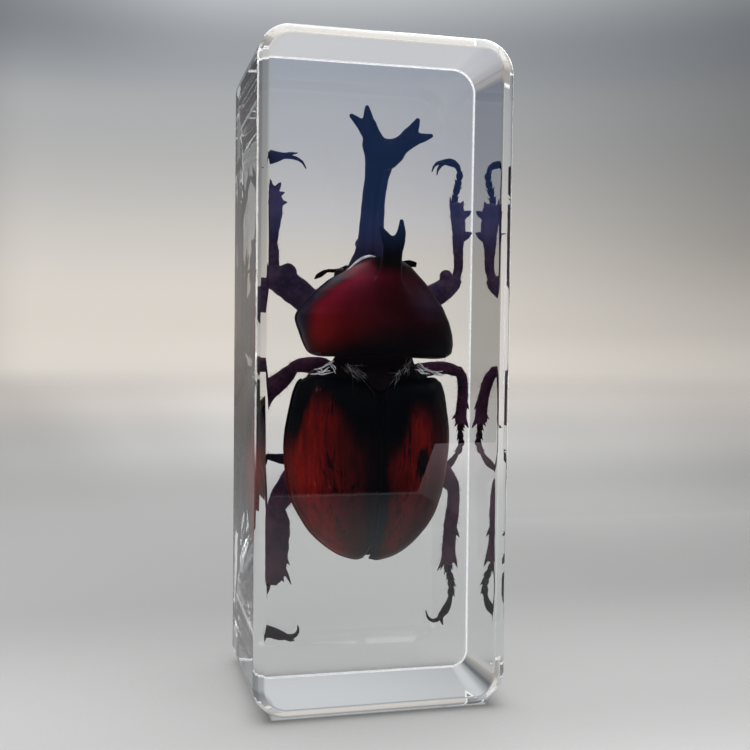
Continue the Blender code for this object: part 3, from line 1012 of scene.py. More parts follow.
def build_thorax():
    c = Clay((-14.5, -7.0, 35.5), (15.0, 13.2, 61.0), 0.3)
    c.field(lambda x, y, z: (((np.abs(x - AX) / 12.3) ** 2.4 + (np.abs(y - 3.0) / 7.5) ** 2.3 + (np.abs(z - 46.8) / 8.4) ** 2.6) ** (1 / 2.4) - 1) * 7.0)
    # neck that runs into the fore body
    c.tube([(AX + 0.5, 1.2, 60.3, 6.9, 5.3), (AX + 0.5, 1.0, 57.6, 6.5, 5.6), (AX + 0.3, 1.2, 54.8, 7.6, 6.0), (AX, 1.6, 52.0, 9.2, 5.5)], side=(1, 0, 0), k=1.0, n=16)
    # side plates
    for s in (-1, 1):
        c.tube([(AX + s * 9.0, 6.2, 54.0, 2.6, 1.6), (AX + s * 11.2, 6.0, 50.0, 2.8, 1.6), (AX + s * 11.6, 6.0, 44.5, 2.6, 1.5)], side=(0, 1, 0), k=0.9)
        c.ball((AX + s * 3.1, 9.9, 52.0), (2.7, 2.0, 2.0), k=0.35)                 # mid hips
        c.tube([(AX + s * 1.0, 9.9, 41.9, 1.7, 1.15), (AX + s * 5.5, 9.9, 41.6, 1.9, 1.3), (AX + s * 10.6, 8.4, 42.6, 1.5, 1.2)], side=(0, 0, 1), k=0.35)  # hind hips
        c.tube([(AX + s * 0.9, 10.9, 50.5, 0.3), (AX + s * 6.0, 10.6, 48.6, 0.28), (AX + s * 10.8, 8.6, 49.8, 0.25)], k=0.25, cut=True)
    c.tube([(AX, 10.75, 54.0, 0.32), (AX, 11.0, 48.0, 0.3), (AX, 10.9, 44.0, 0.35)], k=0.3, cut=True)
    c.tube([(AX, 9.6, 55.0, 0.9, 0.7), (AX, 10.9, 53.2, 0.75, 0.6), (AX, 11.2, 51.6, 0.4, 0.4)], side=(1, 0, 0), k=0.4)
    c.roughen(0.035, 2.2, 21)
    return c.skin()


TH = build_thorax()
piece("mid_body", TH[0], TH[1], MAT["under"])


def build_abdomen():
    c = Clay((-14.6, -7.2, 21.8), (15.0, 11.5, 43.2), 0.3)
    W = [(23.2, 0.4), (23.9, 3.0), (25.4, 6.0), (28, 8.9), (32, 11.3), (37, 12.7), (42, 12.9), (45, 12.0)]
    T = [(23.2, 4.3), (23.9, 3.3), (25.4, 1.6), (28, -1.4), (32, -3.9), (37, -5.3), (42, -5.7), (45, -5.0)]
    B = [(23.2, 4.6), (23.9, 5.5), (25.4, 6.6), (28, 7.9), (32, 8.9), (37, 9.5), (42, 9.6), (45, 9.2)]

    def body(x, y, z):
        w, t, b = interp(z, W), interp(z, T), interp(z, B)
        yc, hy = (t + b) / 2, np.maximum((b - t) / 2, 0.05)
        r = ((np.abs(x - AX) / w) ** 2.3 + (np.abs(y - yc) / hy) ** 2.2) ** (1 / 2.25)
        d = (r - 1) * np.minimum(w, hy)
        d = np.maximum(d, 23.2 - z)
        d = np.maximum(d, z - 42.6)
        # overlapping belly plates: each ends in a small step over the next
        for k, zg in enumerate((39.6, 36.9, 34.3, 31.6, 28.3)):
            q = z - zg + 0.018 * (x - AX) ** 2 * (1 if k < 4 else 1.4) * 0.5
            belly = 1 / (1 + np.exp(-(y - 4.0) * 2.0))
            d = d + belly * (0.26 * np.exp(-(q / 0.22) ** 2) - 0.16 * np.exp(-((q - 0.6) / 0.55) ** 2))
        return d

    c.field(body)
    for s in (-1, 1):
        for k, z0 in enumerate((38.3, 35.6, 32.9, 30.0)):
            c.ball((AX + s * (12.0 - 0.45 * k - 0.09 * (38 - z0) ** 1.0), 3.3, z0), 0.28, k=0.15, cut=True)   # breathing pores
    c.roughen(0.03, 2.0, 31)
    return c.skin()


AB = build_abdomen()
piece("hind_body", AB[0], AB[1], MAT["under"])

# --- eyes, feelers, mouth -------------------------------------------------------------------------------------------------
for s, name in ((-1, "eye_left"), (1, "eye_right")):
    v, f = sculpt(0.09, [("ball", (AX + s * 4.7, 6.8, 71.7), (1.35, 1.3, 1.3), 0)])
    piece(name, v, f, MAT["eye"])


def feeler(rows, club, name):
    parts = [("tube", [(*rows[0], 0.42), (*rows[1], 0.5), (*rows[2], 0.36)], None, 0.15)]
    p = spline(rows[2:], 7)
    for i in range(6):
        parts.append(("tube", [(*p[i], 0.24), (*(p[i] * 0.25 + p[i + 1] * 0.75), 0.38 - 0.01 * i), (*p[i + 1], 0.22)], None, 0.06))
    a, b, off = (np.array(q, float) for q in club)
    for j in (-1, 0, 1):
        o = off * j
        m = (a + b) / 2 + o * 1.25
        parts.append(("tube", [(*(a + o * 0.35), 0.2, 0.14), (*m, 0.5, 0.2), (*(b + o * 0.9), 0.26, 0.15)], (0.2, 1, 0.1), 0.05))
    v, f = sculpt(0.075, parts, 0.015, 0.7, 4)
    piece(name, v, f, MAT["dark"])


feeler([(-2.9, 8.2, 71.9), (-3.15, 8.3, 72.9), (-3.5, 8.35, 73.3), (-4.43, 8.4, 72.85), (-5.48, 8.5, 72.62), (-6.70, 8.6, 72.62)],
       ((-6.7, 8.6, 72.62), (-8.85, 8.7, 71.5), (0.14, 0, 0.32)), "feeler_left")
feeler([(3.3, 8.3, 71.9), (3.9, 8.4, 73.2), (4.5, 8.4, 74.1), (5.3, 8.45, 74.5), (5.9, 8.5, 74.45), (6.6, 8.5, 74.4)],
       ((6.6, 8.5, 74.4), (9.1, 8.7, 74.08), (0.05, 0, 0.32)), "feeler_right")

parts = [("tube", [(AX, 9.8, 68.8, 1.7, 0.9), (AX, 10.6, 71.2, 1.35, 0.7), (AX, 10.7, 73.4, 1.0, 0.5)], (1, 0, 0), 0.3)]
for s in (-1, 1):
    parts += [("tube", [(AX + s * 1.7, 9.6, 71.4, 0.8, 0.6), (AX + s * 2.0, 9.9, 73.8, 0.75, 0.5), (AX + s * 1.5, 9.7, 75.6, 0.45, 0.35)], (1, 0, 0), 0.25),
              ("tube", [(AX + s * 1.5, 10.3, 72.4, 0.3), (AX + s * 1.9, 10.8, 73.2, 0.34), (AX + s * 2.0, 10.9, 73.7, 0.24)], None, 0.1),
              ("tube", [(AX + s * 2.0, 10.9, 73.7, 0.24), (AX + s * 1.9, 10.9, 74.5, 0.36), (AX + s * 1.6, 10.7, 75.3, 0.2)], None, 0.05),
              ("tube", [(AX + s * 0.7, 10.9, 73.0, 0.22), (AX + s * 1.0, 11.1, 74.2, 0.27), (AX + s * 0.95, 10.9, 75.0, 0.16)], None, 0.05)]
v, f = sculpt(0.11, parts, 0.02, 1.0, 6)
piece("mouthparts", v, f, MAT["dark"])
rng = np.random.RandomState(8)
roots, dirs = [], []
for s in (-1, 1):
    for _ in range(170):
        roots.append((AX + s * rng.uniform(0.2, 1.4), 9.5 + rng.uniform(-0.5, 0.7), 74.2 + rng.uniform(-1.0, 0.8)))
        dirs.append((s * 0.05, 0.1, 1.0))
v, f = hairs(roots, dirs, rng.uniform(0.8, 1.7, len(roots)), 0.035, (0, -0.1, 0.1), 9, jitter=0.16)
piece("mouth_brush", v, f, MAT["hair_gold"])


# --- legs -----------------------------------------------------------------------------------------------------------------
def spine(base, tip, r=0.26):
    b, t = np.array(base, float), np.array(tip, float)
    m = b * 0.45 + t * 0.55
    return ("tube", [(*b, r), (*m, r * 0.66), (*t, 0.06)], None, 0.12)


def foot(path, r, claws, h=0.092, seed=1, fractions=(0.17, 0.14, 0.14, 0.15), last=None):
    """Five joints along path, each flared with a few bristles, and two hooked claws.  last replaces the fifth joint."""
    p = spline(path, 61)
    stops = np.round(np.cumsum((0,) + tuple(fractions)) * 60).astype(int)
    parts = []
    rng = np.random.RandomState(seed)
    for a, b in zip(stops[:-1], stops[1:]):
        m = (a + 2 * b) // 3
        parts.append(("tube", [(*p[a], r * 0.55), (*p[m], r * 1.05), (*p[b], r * 0.68)], None, 0.06))
        t = p[b] - p[a]
        t /= np.linalg.norm(t)
        for q in range(4):
            w = rng.normal(size=3)
            w -= (w @ t) * t
            w /= np.linalg.norm(w)
            parts.append(("tube", [(*(p[m] + w * r * 0.6), 0.16), (*(p[m] + w * r * 1.45 + t * 0.85), 0.05)], None, 0.05))
    a = stops[-1]
    m = (a * 2 + 60) // 3
    if last is None:
        last = [(*p[a], r * 0.58), (*p[m], r * 0.85), (*p[52], r * 1.15), (*p[60], r * 0.85)]
    parts.append(("tube", last, None, 0.08))
    for c in claws:
        c = spline([tuple(q) for q in c], 9)
        rad = (min(r, 0.8) * 0.66 - 0.11) * (1 - np.linspace(0, 1, 9) ** 1.7) + 0.11
        parts.append(("tube", np.column_stack([c, rad, rad * 0.85]), None, 0.08, 9))
    return sculpt(h, parts, 0.02, 0.6, seed)


def leg(label, femur, tibia, tibia_spines, foot_path, foot_r, claws, femur_extra=(), tibia_extra=(), sideF=(0, 0, 1), sideT=(1, 0, 0), seed=1, last=None, fractions=(0.17, 0.14, 0.14, 0.15)):
    skin = MAT["leg" if label.startswith("fore") else "leg_hind"]
    v, f = sculpt(0.16, [("tube", femur, sideF, 0.3)] + list(femur_extra), 0.04, 1.6, seed)
    piece("femur_" + label, v, f, skin)
    out = [(v, f)]
    v, f = sculpt(0.12, [("tube", tibia, sideT, 0.25)] + list(tibia_extra) + [spine(*q) for q in tibia_spines], 0.04, 1.3, seed + 1)
    piece("tibia_" + label, v, f, skin)
    out.append((v, f))
    v, f = foot(foot_path, foot_r, claws, seed=seed + 2, last=last, fractions=fractions)
    piece("foot_" + label, v, f, MAT["foot"])
    return out


LEGS = {}
LEGS["fore_right"] = leg(
    "fore_right",
    [(5.6, 10.0, 65.0, 1.9, 1.5), (10.3, 11.4, 67.2, 2.15, 1.45), (14.12, 12.8, 69.2, 2.1, 1.4), (16.79, 13.7, 70.85, 1.7, 1.2), (17.75, 14.0, 71.6, 1.05, 0.85)],
    [(17.53, 14.0, 71.44, 0.9, 0.8), (18.16, 14.2, 74.05, 0.9, 0.8), (18.11, 14.5, 77.56, 1.15, 0.85), (18.21, 14.7, 80.87, 1.65, 0.85), (17.94, 14.8, 84.07, 1.85, 0.8), (17.71, 14.9, 85.29, 1.4, 0.7)],
    [((19.1, 15.2, 83.5), (20.75, 15.4, 84.5), 0.8), ((19.3, 15.0, 79.75), (20.85, 14.9, 80.5), 0.8), ((18.58, 15.2, 85.0), (19.18, 15.3, 86.32), 0.5), ((16.77, 14.6, 84.5), (16.44, 14.6, 86.98), 0.36),
     ((17.3, 14.7, 85.5), (17.1, 14.5, 86.5), 0.3)],
    [(17.37, 15.2, 85.51), (17.69, 15.5, 87.45), (18.23, 15.7, 89.58), (18.43, 15.75, 91.19), (17.76, 15.75, 92.69), (16.51, 15.7, 93.17), (15.48, 15.6, 93.16)], 0.62,
    [[(15.58, 15.6, 93.16), (14.38, 15.4, 92.96), (13.46, 15.2, 92.24), (13.05, 15.1, 91.24)], [(15.58, 15.7, 93.06), (14.86, 15.8, 92.55), (14.34, 15.8, 91.73), (14.14, 15.8, 90.73)]],
    femur_extra=[("ball", (15.64, 13.2, 72.33), (1.2, 1.0, 1.15), 0.35), ("ball", (5.0, 9.4, 64.6), (3.0, 1.9, 2.2), 0.5)], sideT=(0.78, 0.63, 0), seed=11)
LEGS["fore_left"] = leg(
    "fore_left",
    [(-5.2, 10.0, 65.0, 2.1, 1.5), (-9.4, 11.4, 67.1, 2.4, 1.5), (-12.9, 12.2, 69.8, 2.5, 1.45), (-15.6, 12.7, 71.5, 2.2, 1.3), (-16.9, 13.0, 72.2, 1.2, 0.95)],
    [(-16.2, 12.9, 72.6, 1.3, 0.9), (-16.4, 13.2, 75.4, 1.65, 0.85), (-16.85, 13.4, 77.5, 1.75, 0.9), (-16.85, 13.5, 79.4, 2.0, 0.9), (-16.7, 13.6, 81.9, 2.3, 0.9), (-16.75, 13.7, 84.4, 2.6, 0.85), (-16.9, 13.7, 86.2, 2.3, 0.75), (-16.6, 13.7, 87.1, 1.7, 0.65)],
    [((-18.4, 13.8, 84.3), (-20.1, 13.9, 85.2), 0.65), ((-18.0, 13.7, 80.0), (-19.7, 13.8, 81.0), 0.6), ((-17.6, 13.7, 87.0), (-18.4, 13.8, 88.3), 0.42), ((-15.2, 13.6, 86.6), (-14.55, 13.6, 87.85), 0.4),
     ((-16.4, 13.6, 87.4), (-16.45, 13.6, 88.4), 0.4), ((-14.9, 13.6, 85.9), (-13.8, 13.6, 86.3), 0.5), ((-14.6, 13.6, 84.4), (-13.4, 13.6, 84.6), 0.45),
     ((-15.3, 13.6, 87.0), (-14.6, 13.6, 88.0), 0.4), ((-19.2, 13.8, 89.0), (-17.4, 13.8, 89.5), 0.42)],
    [(-16.8, 13.9, 87.4), (-17.7, 14.0, 88.4), (-18.9, 14.1, 89.8), (-19.3, 14.1, 91.4), (-18.4, 14.1, 92.4), (-16.66, 14.0, 92.38), (-14.6, 14.0, 92.6)], 0.72,
    [[(-14.6, 14.0, 92.6), (-13.1, 13.9, 93.0), (-11.7, 13.9, 93.25)], [(-14.8, 14.1, 92.5), (-12.6, 14.2, 92.5), (-10.9, 14.2, 91.85), (-10.1, 14.2, 90.6)]],
    femur_extra=[("ball", (-13.3, 12.4, 72.5), (1.5, 1.1, 1.4), 0.35), ("ball", (-4.6, 9.4, 64.6), (3.0, 1.9, 2.2), 0.5)],
    last=[(-18.6, 14.1, 92.3, 0.6), (-17.6, 14.0, 92.3, 1.1), (-16.6, 14.0, 92.3, 1.25), (-15.2, 14.0, 92.45, 0.88), (-13.9, 14.0, 92.7, 0.46)], seed=21)
LEGS["mid_right"] = leg(
    "mid_right",
    [(4.0, 10.2, 52.8, 1.6, 1.3), (8.11, 10.4, 54.7, 1.35, 1.1), (11.77, 10.5, 55.5, 1.3, 1.05), (15.01, 10.5, 55.74, 1.15, 0.95), (17.5, 10.6, 55.15, 1.0, 0.85)],
    [(17.72, 10.7, 55.25, 0.9, 0.8), (18.63, 11.4, 53.65, 1.0, 0.9), (19.11, 13.0, 50.82, 1.05, 0.95), (19.2, 14.4, 48.37, 1.15, 0.95), (19.2, 15.1, 46.22, 1.25, 0.9)],
    [((19.85, 14.0, 49.58), (20.7, 14.4, 47.9), 0.38), ((19.55, 12.9, 51.62), (20.13, 13.2, 50.51), 0.3), ((19.9, 15.1, 46.22), (20.85, 15.4, 44.5), 0.42), ((18.76, 15.2, 45.93), (18.13, 15.5, 44.83), 0.32),
     ((19.5, 14.8, 45.91), (20.0, 14.8, 44.28), 0.32), ((18.41, 15.0, 47.15), (17.55, 15.2, 46.13), 0.3)],
    [(19.23, 15.3, 45.71), (19.29, 15.6, 43.48), (19.51, 15.7, 41.76), (18.89, 15.7, 40.06), (17.64, 15.7, 38.27), (16.41, 15.6, 37.07)], 0.60,
    [[(16.41, 15.6, 37.07), (15.26, 15.6, 36.48), (14.44, 15.5, 36.89), (13.94, 15.5, 37.8)], [(16.41, 15.7, 37.07), (15.59, 15.8, 36.02), (14.7, 15.8, 35.91), (14.02, 15.8, 36.61)]], sideT=(0.8, 0.5, 0), seed=31)
LEGS["mid_left"] = leg(
    "mid_left",
    [(-3.7, 10.2, 52.8, 1.6, 1.3), (-6.79, 10.8, 55.8, 1.45, 1.15), (-9.05, 11.2, 56.16, 1.45, 1.1), (-10.97, 11.5, 56.06, 1.3, 1.0), (-12.17, 11.8, 55.78, 1.0, 0.95)],
    [(-12.26, 11.8, 55.6, 1.0, 0.85), (-13.2, 12.0, 54.55, 1.35, 0.95), (-14.39, 12.3, 53.4, 1.65, 1.0), (-15.41, 12.6, 52.6, 1.75, 1.0), (-16.9, 12.9, 51.2, 1.8, 1.0), (-18.1, 13.2, 48.9, 1.7, 0.95), (-18.6, 13.4, 46.9, 1.5, 0.9)],
    [((-17.2, 13.0, 52.6), (-18.9, 13.2, 52.2), 0.36), ((-18.9, 13.3, 48.8), (-20.2, 13.4, 48.0), 0.34), ((-19.2, 13.4, 46.6), (-20.2, 13.6, 45.0), 0.36), ((-17.6, 13.6, 46.2), (-16.8, 13.9, 45.0), 0.32)],
    [(-18.8, 13.5, 46.2), (-19.4, 13.6, 44.2), (-19.3, 13.7, 42.2), (-18.4, 13.8, 40.6), (-16.4, 13.8, 39.9), (-13.8, 13.7, 39.5), (-11.8, 13.6, 39.1)], 0.85,
    [[(-11.8, 13.6, 39.1), (-10.6, 13.5, 38.9), (-9.8, 13.4, 39.5), (-9.5, 13.3, 40.4)], [(-11.8, 13.8, 39.1), (-10.7, 14.1, 38.4), (-9.7, 14.2, 38.5), (-9.2, 14.2, 39.2)]], seed=41)
LEGS["hind_right"] = leg(
    "hind_right",
    [(6.0, 9.4, 42.2, 1.7, 1.3), (10.34, 9.7, 40.42, 2.1, 1.4), (14.02, 9.9, 37.38, 2.0, 1.35), (16.33, 10.0, 34.93, 1.5, 1.15), (17.1, 10.1, 33.54, 1.0, 0.9)],
    [(16.9, 10.1, 34.04, 1.1, 0.95), (17.05, 10.4, 31.75, 1.2, 0.95), (16.85, 11.0, 28.74, 1.35, 0.95), (16.68, 11.8, 25.51, 1.3, 0.9), (16.68, 12.8, 22.21, 1.4, 0.85), (16.76, 13.3, 20.36, 1.55, 0.8)],
    [((17.77, 11.8, 26.28), (18.64, 12.0, 24.57), 0.34), ((17.88, 13.3, 20.84), (18.63, 13.6, 18.81), 0.4), ((15.86, 13.3, 20.56), (14.78, 13.5, 18.54), 0.38), ((16.18, 13.8, 20.34), (15.48, 14.2, 18.54), 0.34),
     ((17.08, 13.0, 20.24), (17.53, 12.9, 18.61), 0.34)],
    [(16.49, 13.9, 19.56), (17.39, 15.0, 17.47), (17.89, 15.6, 15.17), (17.67, 15.7, 12.87), (16.89, 15.7, 10.97), (15.94, 15.7, 9.79)], 0.66,
    [[(16.05, 15.7, 9.69), (14.8, 15.6, 8.92), (13.53, 15.5, 9.48), (12.99, 15.4, 10.93)], [(16.05, 15.7, 9.69), (16.07, 15.6, 8.87), (16.29, 15.4, 8.14)]], sideT=(0.95, 0.3, 0), seed=51)
LEGS["hind_left"] = leg(
    "hind_left",
    [(-5.7, 9.4, 42.2, 1.7, 1.3), (-9.6, 9.9, 39.6, 2.2, 1.4), (-12.9, 10.5, 35.2, 2.2, 1.35), (-14.9, 10.9, 32.0, 1.8, 1.2), (-15.7, 11.0, 30.4, 1.3, 1.0)],
    [(-15.2, 11.0, 30.6, 1.7, 1.0), (-15.1, 11.3, 28.2, 2.3, 1.0), (-15.15, 11.7, 25.2, 2.35, 1.0), (-15.2, 12.1, 22.0, 2.15, 0.95), (-15.6, 12.4, 19.4, 2.1, 0.9), (-16.1, 12.5, 18.3, 1.7, 0.8)],
    [((-13.75, 12.3, 20.4), (-12.3, 12.4, 17.3), 0.42), ((-14.5, 12.4, 19.6), (-13.5, 12.6, 17.6), 0.38), ((-17.3, 12.4, 18.6), (-18.6, 12.5, 16.6), 0.42), ((-17.3, 12.0, 24.0), (-18.3, 12.0, 22.6), 0.34),
     ((-15.4, 12.5, 18.6), (-14.8, 12.7, 17.0), 0.34), ((-16.6, 12.5, 18.0), (-16.9, 12.7, 16.4), 0.36), ((-13.4, 12.2, 22.0), (-12.5, 12.3, 20.6), 0.3)],
    [(-16.3, 12.6, 17.6), (-17.5, 12.9, 15.8), (-18.6, 13.1, 13.8), (-18.7, 13.3, 11.6), (-17.8, 13.5, 9.8), (-15.58, 13.6, 8.73), (-13.0, 13.6, 7.85)], 0.82,
    [[(-13.0, 13.6, 7.8), (-11.65, 13.6, 7.89), (-10.94, 13.6, 8.75), (-11.0, 13.5, 9.82)], [(-13.2, 13.8, 7.8), (-12.3, 14.1, 7.2), (-11.5, 14.2, 7.0)]],
    last=[(-18.2, 13.5, 10.3, 0.75), (-17.0, 13.6, 9.15, 1.12), (-15.58, 13.6, 8.73, 1.0), (-14.15, 13.6, 8.15, 0.85), (-12.95, 13.6, 7.8, 0.5)], seed=61)

# bristles on the legs
roots, dirs, lens = [], [], []
rng = np.random.RandomState(5)
for key, segs in LEGS.items():
    for v, f in segs:
        n = vertex_normals(v, f)
        idx = rng.choice(len(v), 170, replace=False)
        for i in idx:
            if n[i, 1] < -0.8 or v[i, 1] > 16.1 or abs(v[i, 0]) > 20.2:
                continue
            roots.append(v[i])
            dirs.append(n[i] + 0.6 * np.array([0, 0, 1 if "fore" in key else -1]))
            lens.append(rng.uniform(0.35, 0.85) if "fore" not in key else rng.uniform(0.3, 0.6))
v, f = hairs(roots, dirs, lens, 0.030, (0, 0, 0), 12, segs=2)
v[:, 0], v[:, 1] = np.clip(v[:, 0], -20.9, 20.9), np.minimum(v[:, 1], 16.5)
piece("leg_bristles", v, f, MAT["hair_dark"])

# golden down on the underside of the mid body
v, n = scatter(*TH, lambda v, n: (n[:, 1] > 0.35) & (v[:, 1] > 6.0) & (np.abs(v[:, 0] - AX) > 1.2) & (v[:, 2] > 43.5), 1500, 14)
hv, hf = hairs(v, n + np.array([0, 0, -0.9]), np.random.RandomState(15).uniform(0.6, 1.3, len(v)), 0.03, (0, -0.35, -0.25), 16, segs=3)
piece("body_down", hv, hf, MAT["hair_gold"])

# two fans of fine pale hair that hang from the neck over the root of the wing covers
rng = np.random.RandomState(17)
roots, dirs, lens = [], [], []
for s, a, b, d in ((-1, (-5.6, -5.0, 56.6), (-2.4, -6.5, 54.4), (0.62, -0.25, -0.72)), (1, (6.5, -4.8, 58.2), (3.4, -6.4, 54.8), (-0.42, -0.3, -0.85))):
    a, b, d = np.array(a), np.array(b), np.array(d)
    for _ in range(34):
        q = rng.uniform()
        roots.append(a + (b - a) * q + rng.normal(size=3) * (0.35, 0.15, 0.35))
        dirs.append(d + np.array([-s * 0.35 * (1 - q), 0, 0]))
        lens.append(rng.uniform(0.9, 2.7))
v, f = hairs(roots, dirs, lens, 0.021, (0, 0.22, -0.12), 18, segs=5, jitter=0.34)
v[:, 1] = np.minimum(v[:, 1], -4.3)
piece("neck_fringe", v, f, MAT["hair_silver"])


def slivers(name, paths, seed, copies=2, flat=0.2):
    """Crumpled silvery slivers of the folded wing skin: thin closed shells along wandering lines, whose near-white is a
    painted reflection of air trapped along them.
    """
    rng = np.random.RandomState(seed)
    heap = Heap()
    for path, width in paths:
        base = spline(path, 15)
        for _ in range(copies):
            t = np.linspace(0, 1, 15)[:, None]
            off = rng.normal(size=3) * (0.12, 0.15, 0.14)
            sway = np.sin(t * math.pi * rng.uniform(1.2, 3.2) + rng.uniform(0, 3)) * rng.normal(size=3) * (0.08, 0.1, 0.13)
            rad = width * np.sin(np.pi * np.clip(t[:, 0], 0.03, 0.97)) ** 0.6 * (1 + 0.35 * np.sin(t[:, 0] * rng.uniform(9, 16) + rng.uniform(0, 6))) * rng.uniform(0.55, 1.05) + 0.02
            heap.add(*loft(base + off + sway, rad, 8, side=(0.2, rng.uniform(-0.5, 0.5), 1), flat=flat))
    return piece(name, np.array(heap.v), heap.f, MAT["silver"])


slivers("wing_root_left", [([(-10.9, -1.8, 54.95), (-9.2, -2.7, 54.9), (-7.4, -3.4, 55.25)], 0.12), ([(-10.2, -2.0, 55.8), (-8.8, -2.8, 56.3), (-7.2, -3.4, 57.3)], 0.12),
                           ([(-7.7, -3.3, 57.1), (-7.2, -3.6, 56.3), (-6.8, -3.9, 55.5)], 0.13), ([(-9.6, -2.4, 55.5), (-8.6, -2.9, 55.6), (-7.9, -3.2, 55.9)], 0.10)], 3)
slivers("wing_root_right", [([(7.2, -3.6, 56.5), (9.6, -2.9, 55.5), (12.4, -1.6, 54.75)], 0.12), ([(7.1, -3.6, 55.9), (8.2, -3.3, 55.4), (9.6, -2.9, 55.1)], 0.12),
                            ([(7.5, -3.5, 57.1), (8.4, -3.2, 56.3), (9.4, -2.9, 55.9)], 0.10), ([(10.4, -2.4, 55.3), (11.4, -2.0, 55.2), (12.3, -1.5, 55.3)], 0.09)], 4)

# thin film of trapped air between the front edge of the fore body and the root of the horn, drawn near-white: a painted
# silvery reflection
heap = Heap()
p = spline([(-5.9, 1.1, 71.2), (-4.2, 1.0, 72.6), (-2.7, 0.9, 73.95), (-1.55, 0.8, 74.65), (-0.4, 0.8, 74.95), (0.8, 0.9, 74.75)], 22)
t = np.linspace(0, 1, 22)
heap.add(*loft(p, 0.20 * np.sin(np.pi * np.clip(t ** 2.0, 0.02, 0.98)) ** 0.8 + 0.05, 10, side=(0, 0.3, 1), flat=0.4))
piece("air_film_neck", np.array(heap.v), heap.f, MAT["silver"])

# ------------------------------------------------------------------------------------------------ stage, lights, camera


def make_floor():
    m, nt, b = new_mat("studio_floor")
    x, y, z = split_xyz(nt)
    r = math_node(nt, "SQRT", math_node(nt, "ADD", math_node(nt, "POWER", x, 2), math_node(nt, "POWER", y, 2)))
    # painted light and shade from front to back
    a = curve(nt, y, FLOOR_PAINTED_LIGHT)
    # a soft pool of light: brightest straight behind, falling off to both sides
    az = math_node(nt, "ARCTAN2", x, math_node(nt, "ADD", y, 0.2))
    pool = curve(nt, az, [(-0.30, 0.53), (-0.152, 0.70), (-0.047, 0.87), (0.06, 1.0), (0.20, 0.98), (0.38, 0.87), (0.54, 0.74), (0.80, 0.58)])
    pool = mix(nt, smooth_step(nt, y, 0.12, 0.42), (1, 1, 1), pool)
    a = math_node(nt, "MULTIPLY", a, pool)
    # painted shade: a darker patch off to the right, some way behind the block
    side = math_node(nt, "MULTIPLY", tri(nt, y, 0.22, 0.10, 0.14), smooth_step(nt, az, 0.30, 0.58))
    a = math_node(nt, "MULTIPLY", a, math_node(nt, "MULTIPLY_ADD", side, -0.22, 1.0))
    # painted light and shade near the block: brighter to the left, darker to the right
    near = curve(nt, x, [(-0.13, 1.16), (0.01, 1.0), (0.10, 0.87)])
    a = math_node(nt, "MULTIPLY", a, mix(nt, smooth_step(nt, y, 0.06, 0.18), near, (1, 1, 1)))
    col = nt.nodes.new("ShaderNodeCombineColor")
    grain = noise(nt, 900, 3, 0.6)
    a = math_node(nt, "MULTIPLY", a, math_node(nt, "MULTIPLY_ADD", grain, 0.04, 0.98))
    # the block keeps the light off a narrow line of floor along its foot
    gap = []
    for v, mid, half in ((x, 0.0, 0.0178), (y, 0.0009, 0.0157)):
        g = math_node(nt, "SUBTRACT", math_node(nt, "ABSOLUTE", math_node(nt, "SUBTRACT", v, mid)), half)
        gap.append(math_node(nt, "POWER", math_node(nt, "MAXIMUM", g, 0.0), 2))
    gap = math_node(nt, "SQRT", math_node(nt, "ADD", *gap))
    foot = math_node(nt, "MULTIPLY", math_node(nt, "EXPONENT", math_node(nt, "MULTIPLY", gap, -1.0 / 0.0019)), smooth_step(nt, gap, 0.0, 0.0006))
    foot = math_node(nt, "ADD", foot, math_node(nt, "MULTIPLY", math_node(nt, "EXPONENT", math_node(nt, "MULTIPLY", gap, -1.0 / 0.012)), 0.10))
    a = math_node(nt, "MULTIPLY", a, math_node(nt, "MULTIPLY_ADD", foot, -0.72, 1.0))
    warm = curve(nt, r, [(0.15, 1.0), (0.9, 0.93)])
    nt.links.new(a, col.inputs[0])
    nt.links.new(math_node(nt, "MULTIPLY", a, math_node(nt, "MULTIPLY", warm, 1.0)), col.inputs[1])
    nt.links.new(math_node(nt, "MULTIPLY", a, math_node(nt, "MULTIPLY_ADD", warm, 1.7, -0.72)), col.inputs[2])
    # painted glow: half the floor's colour is also emitted, so it shines by itself and shadows on it are weaker
    half = nt.nodes.new("ShaderNodeVectorMath")
    half.operation = "SCALE"
    half.inputs["Scale"].default_value = 0.5
    nt.links.new(col.outputs[0], half.inputs[0])
    nt.links.new(half.outputs[0], b.inputs["Base Color"])
    nt.links.new(half.outputs[0], b.inputs["Emission Color"])
    b.inputs["Emission Strength"].default_value = 1.0
    b.inputs["Roughness"].default_value = 0.9
    b.inputs["Specular IOR Level"].default_value = 0.05
    nt.links.new(bump(nt, grain, 0.0001, 0.3), b.inputs["Normal"])
    # the floor melts into the backdrop far behind the object
    clear = nt.nodes.new("ShaderNodeBsdfTransparent")
    fade = nt.nodes.new("ShaderNodeMixShader")
    nt.links.new(smooth_step(nt, r, 0.60, 1.7), fade.inputs[0])
    nt.links.new(b.outputs[0], fade.inputs[1])
    nt.links.new(clear.outputs[0], fade.inputs[2])
    out = next(n for n in nt.nodes if n.type == "OUTPUT_MATERIAL")
    nt.links.new(fade.outputs[0], out.inputs["Surface"])
    n, rings = 96, (0.06, 0.2, 0.6, 1.2, 2.2)
    verts, faces = [(0, 0, -0.15)], []
    for k, R in enumerate(rings):
        verts += [(1000 * R * math.cos(2 * math.pi * i / n), 1000 * R * math.sin(2 * math.pi * i / n), -0.15) for i in range(n)]
        for i in range(n):
            j = (i + 1) % n
            faces.append((0, 1 + i, 1 + j) if k == 0 else (1 + (k - 1) * n + i, 1 + k * n + i, 1 + k * n + j, 1 + (k - 1) * n + j))
    mesh_object("studio_floor", verts, faces, m, smooth=False)


# floor brightness from front to back: the studio's uneven light and shade painted into the floor's colour
FLOOR_PAINTED_LIGHT = [(-0.90, 0.30), (-0.42, 0.42), (-0.20, 0.74), (-0.07, 0.74), (-0.015, 0.52), (0.063, 0.367), (0.205, 0.403), (0.40, 0.545), (0.80, 0.68)]
make_floor()


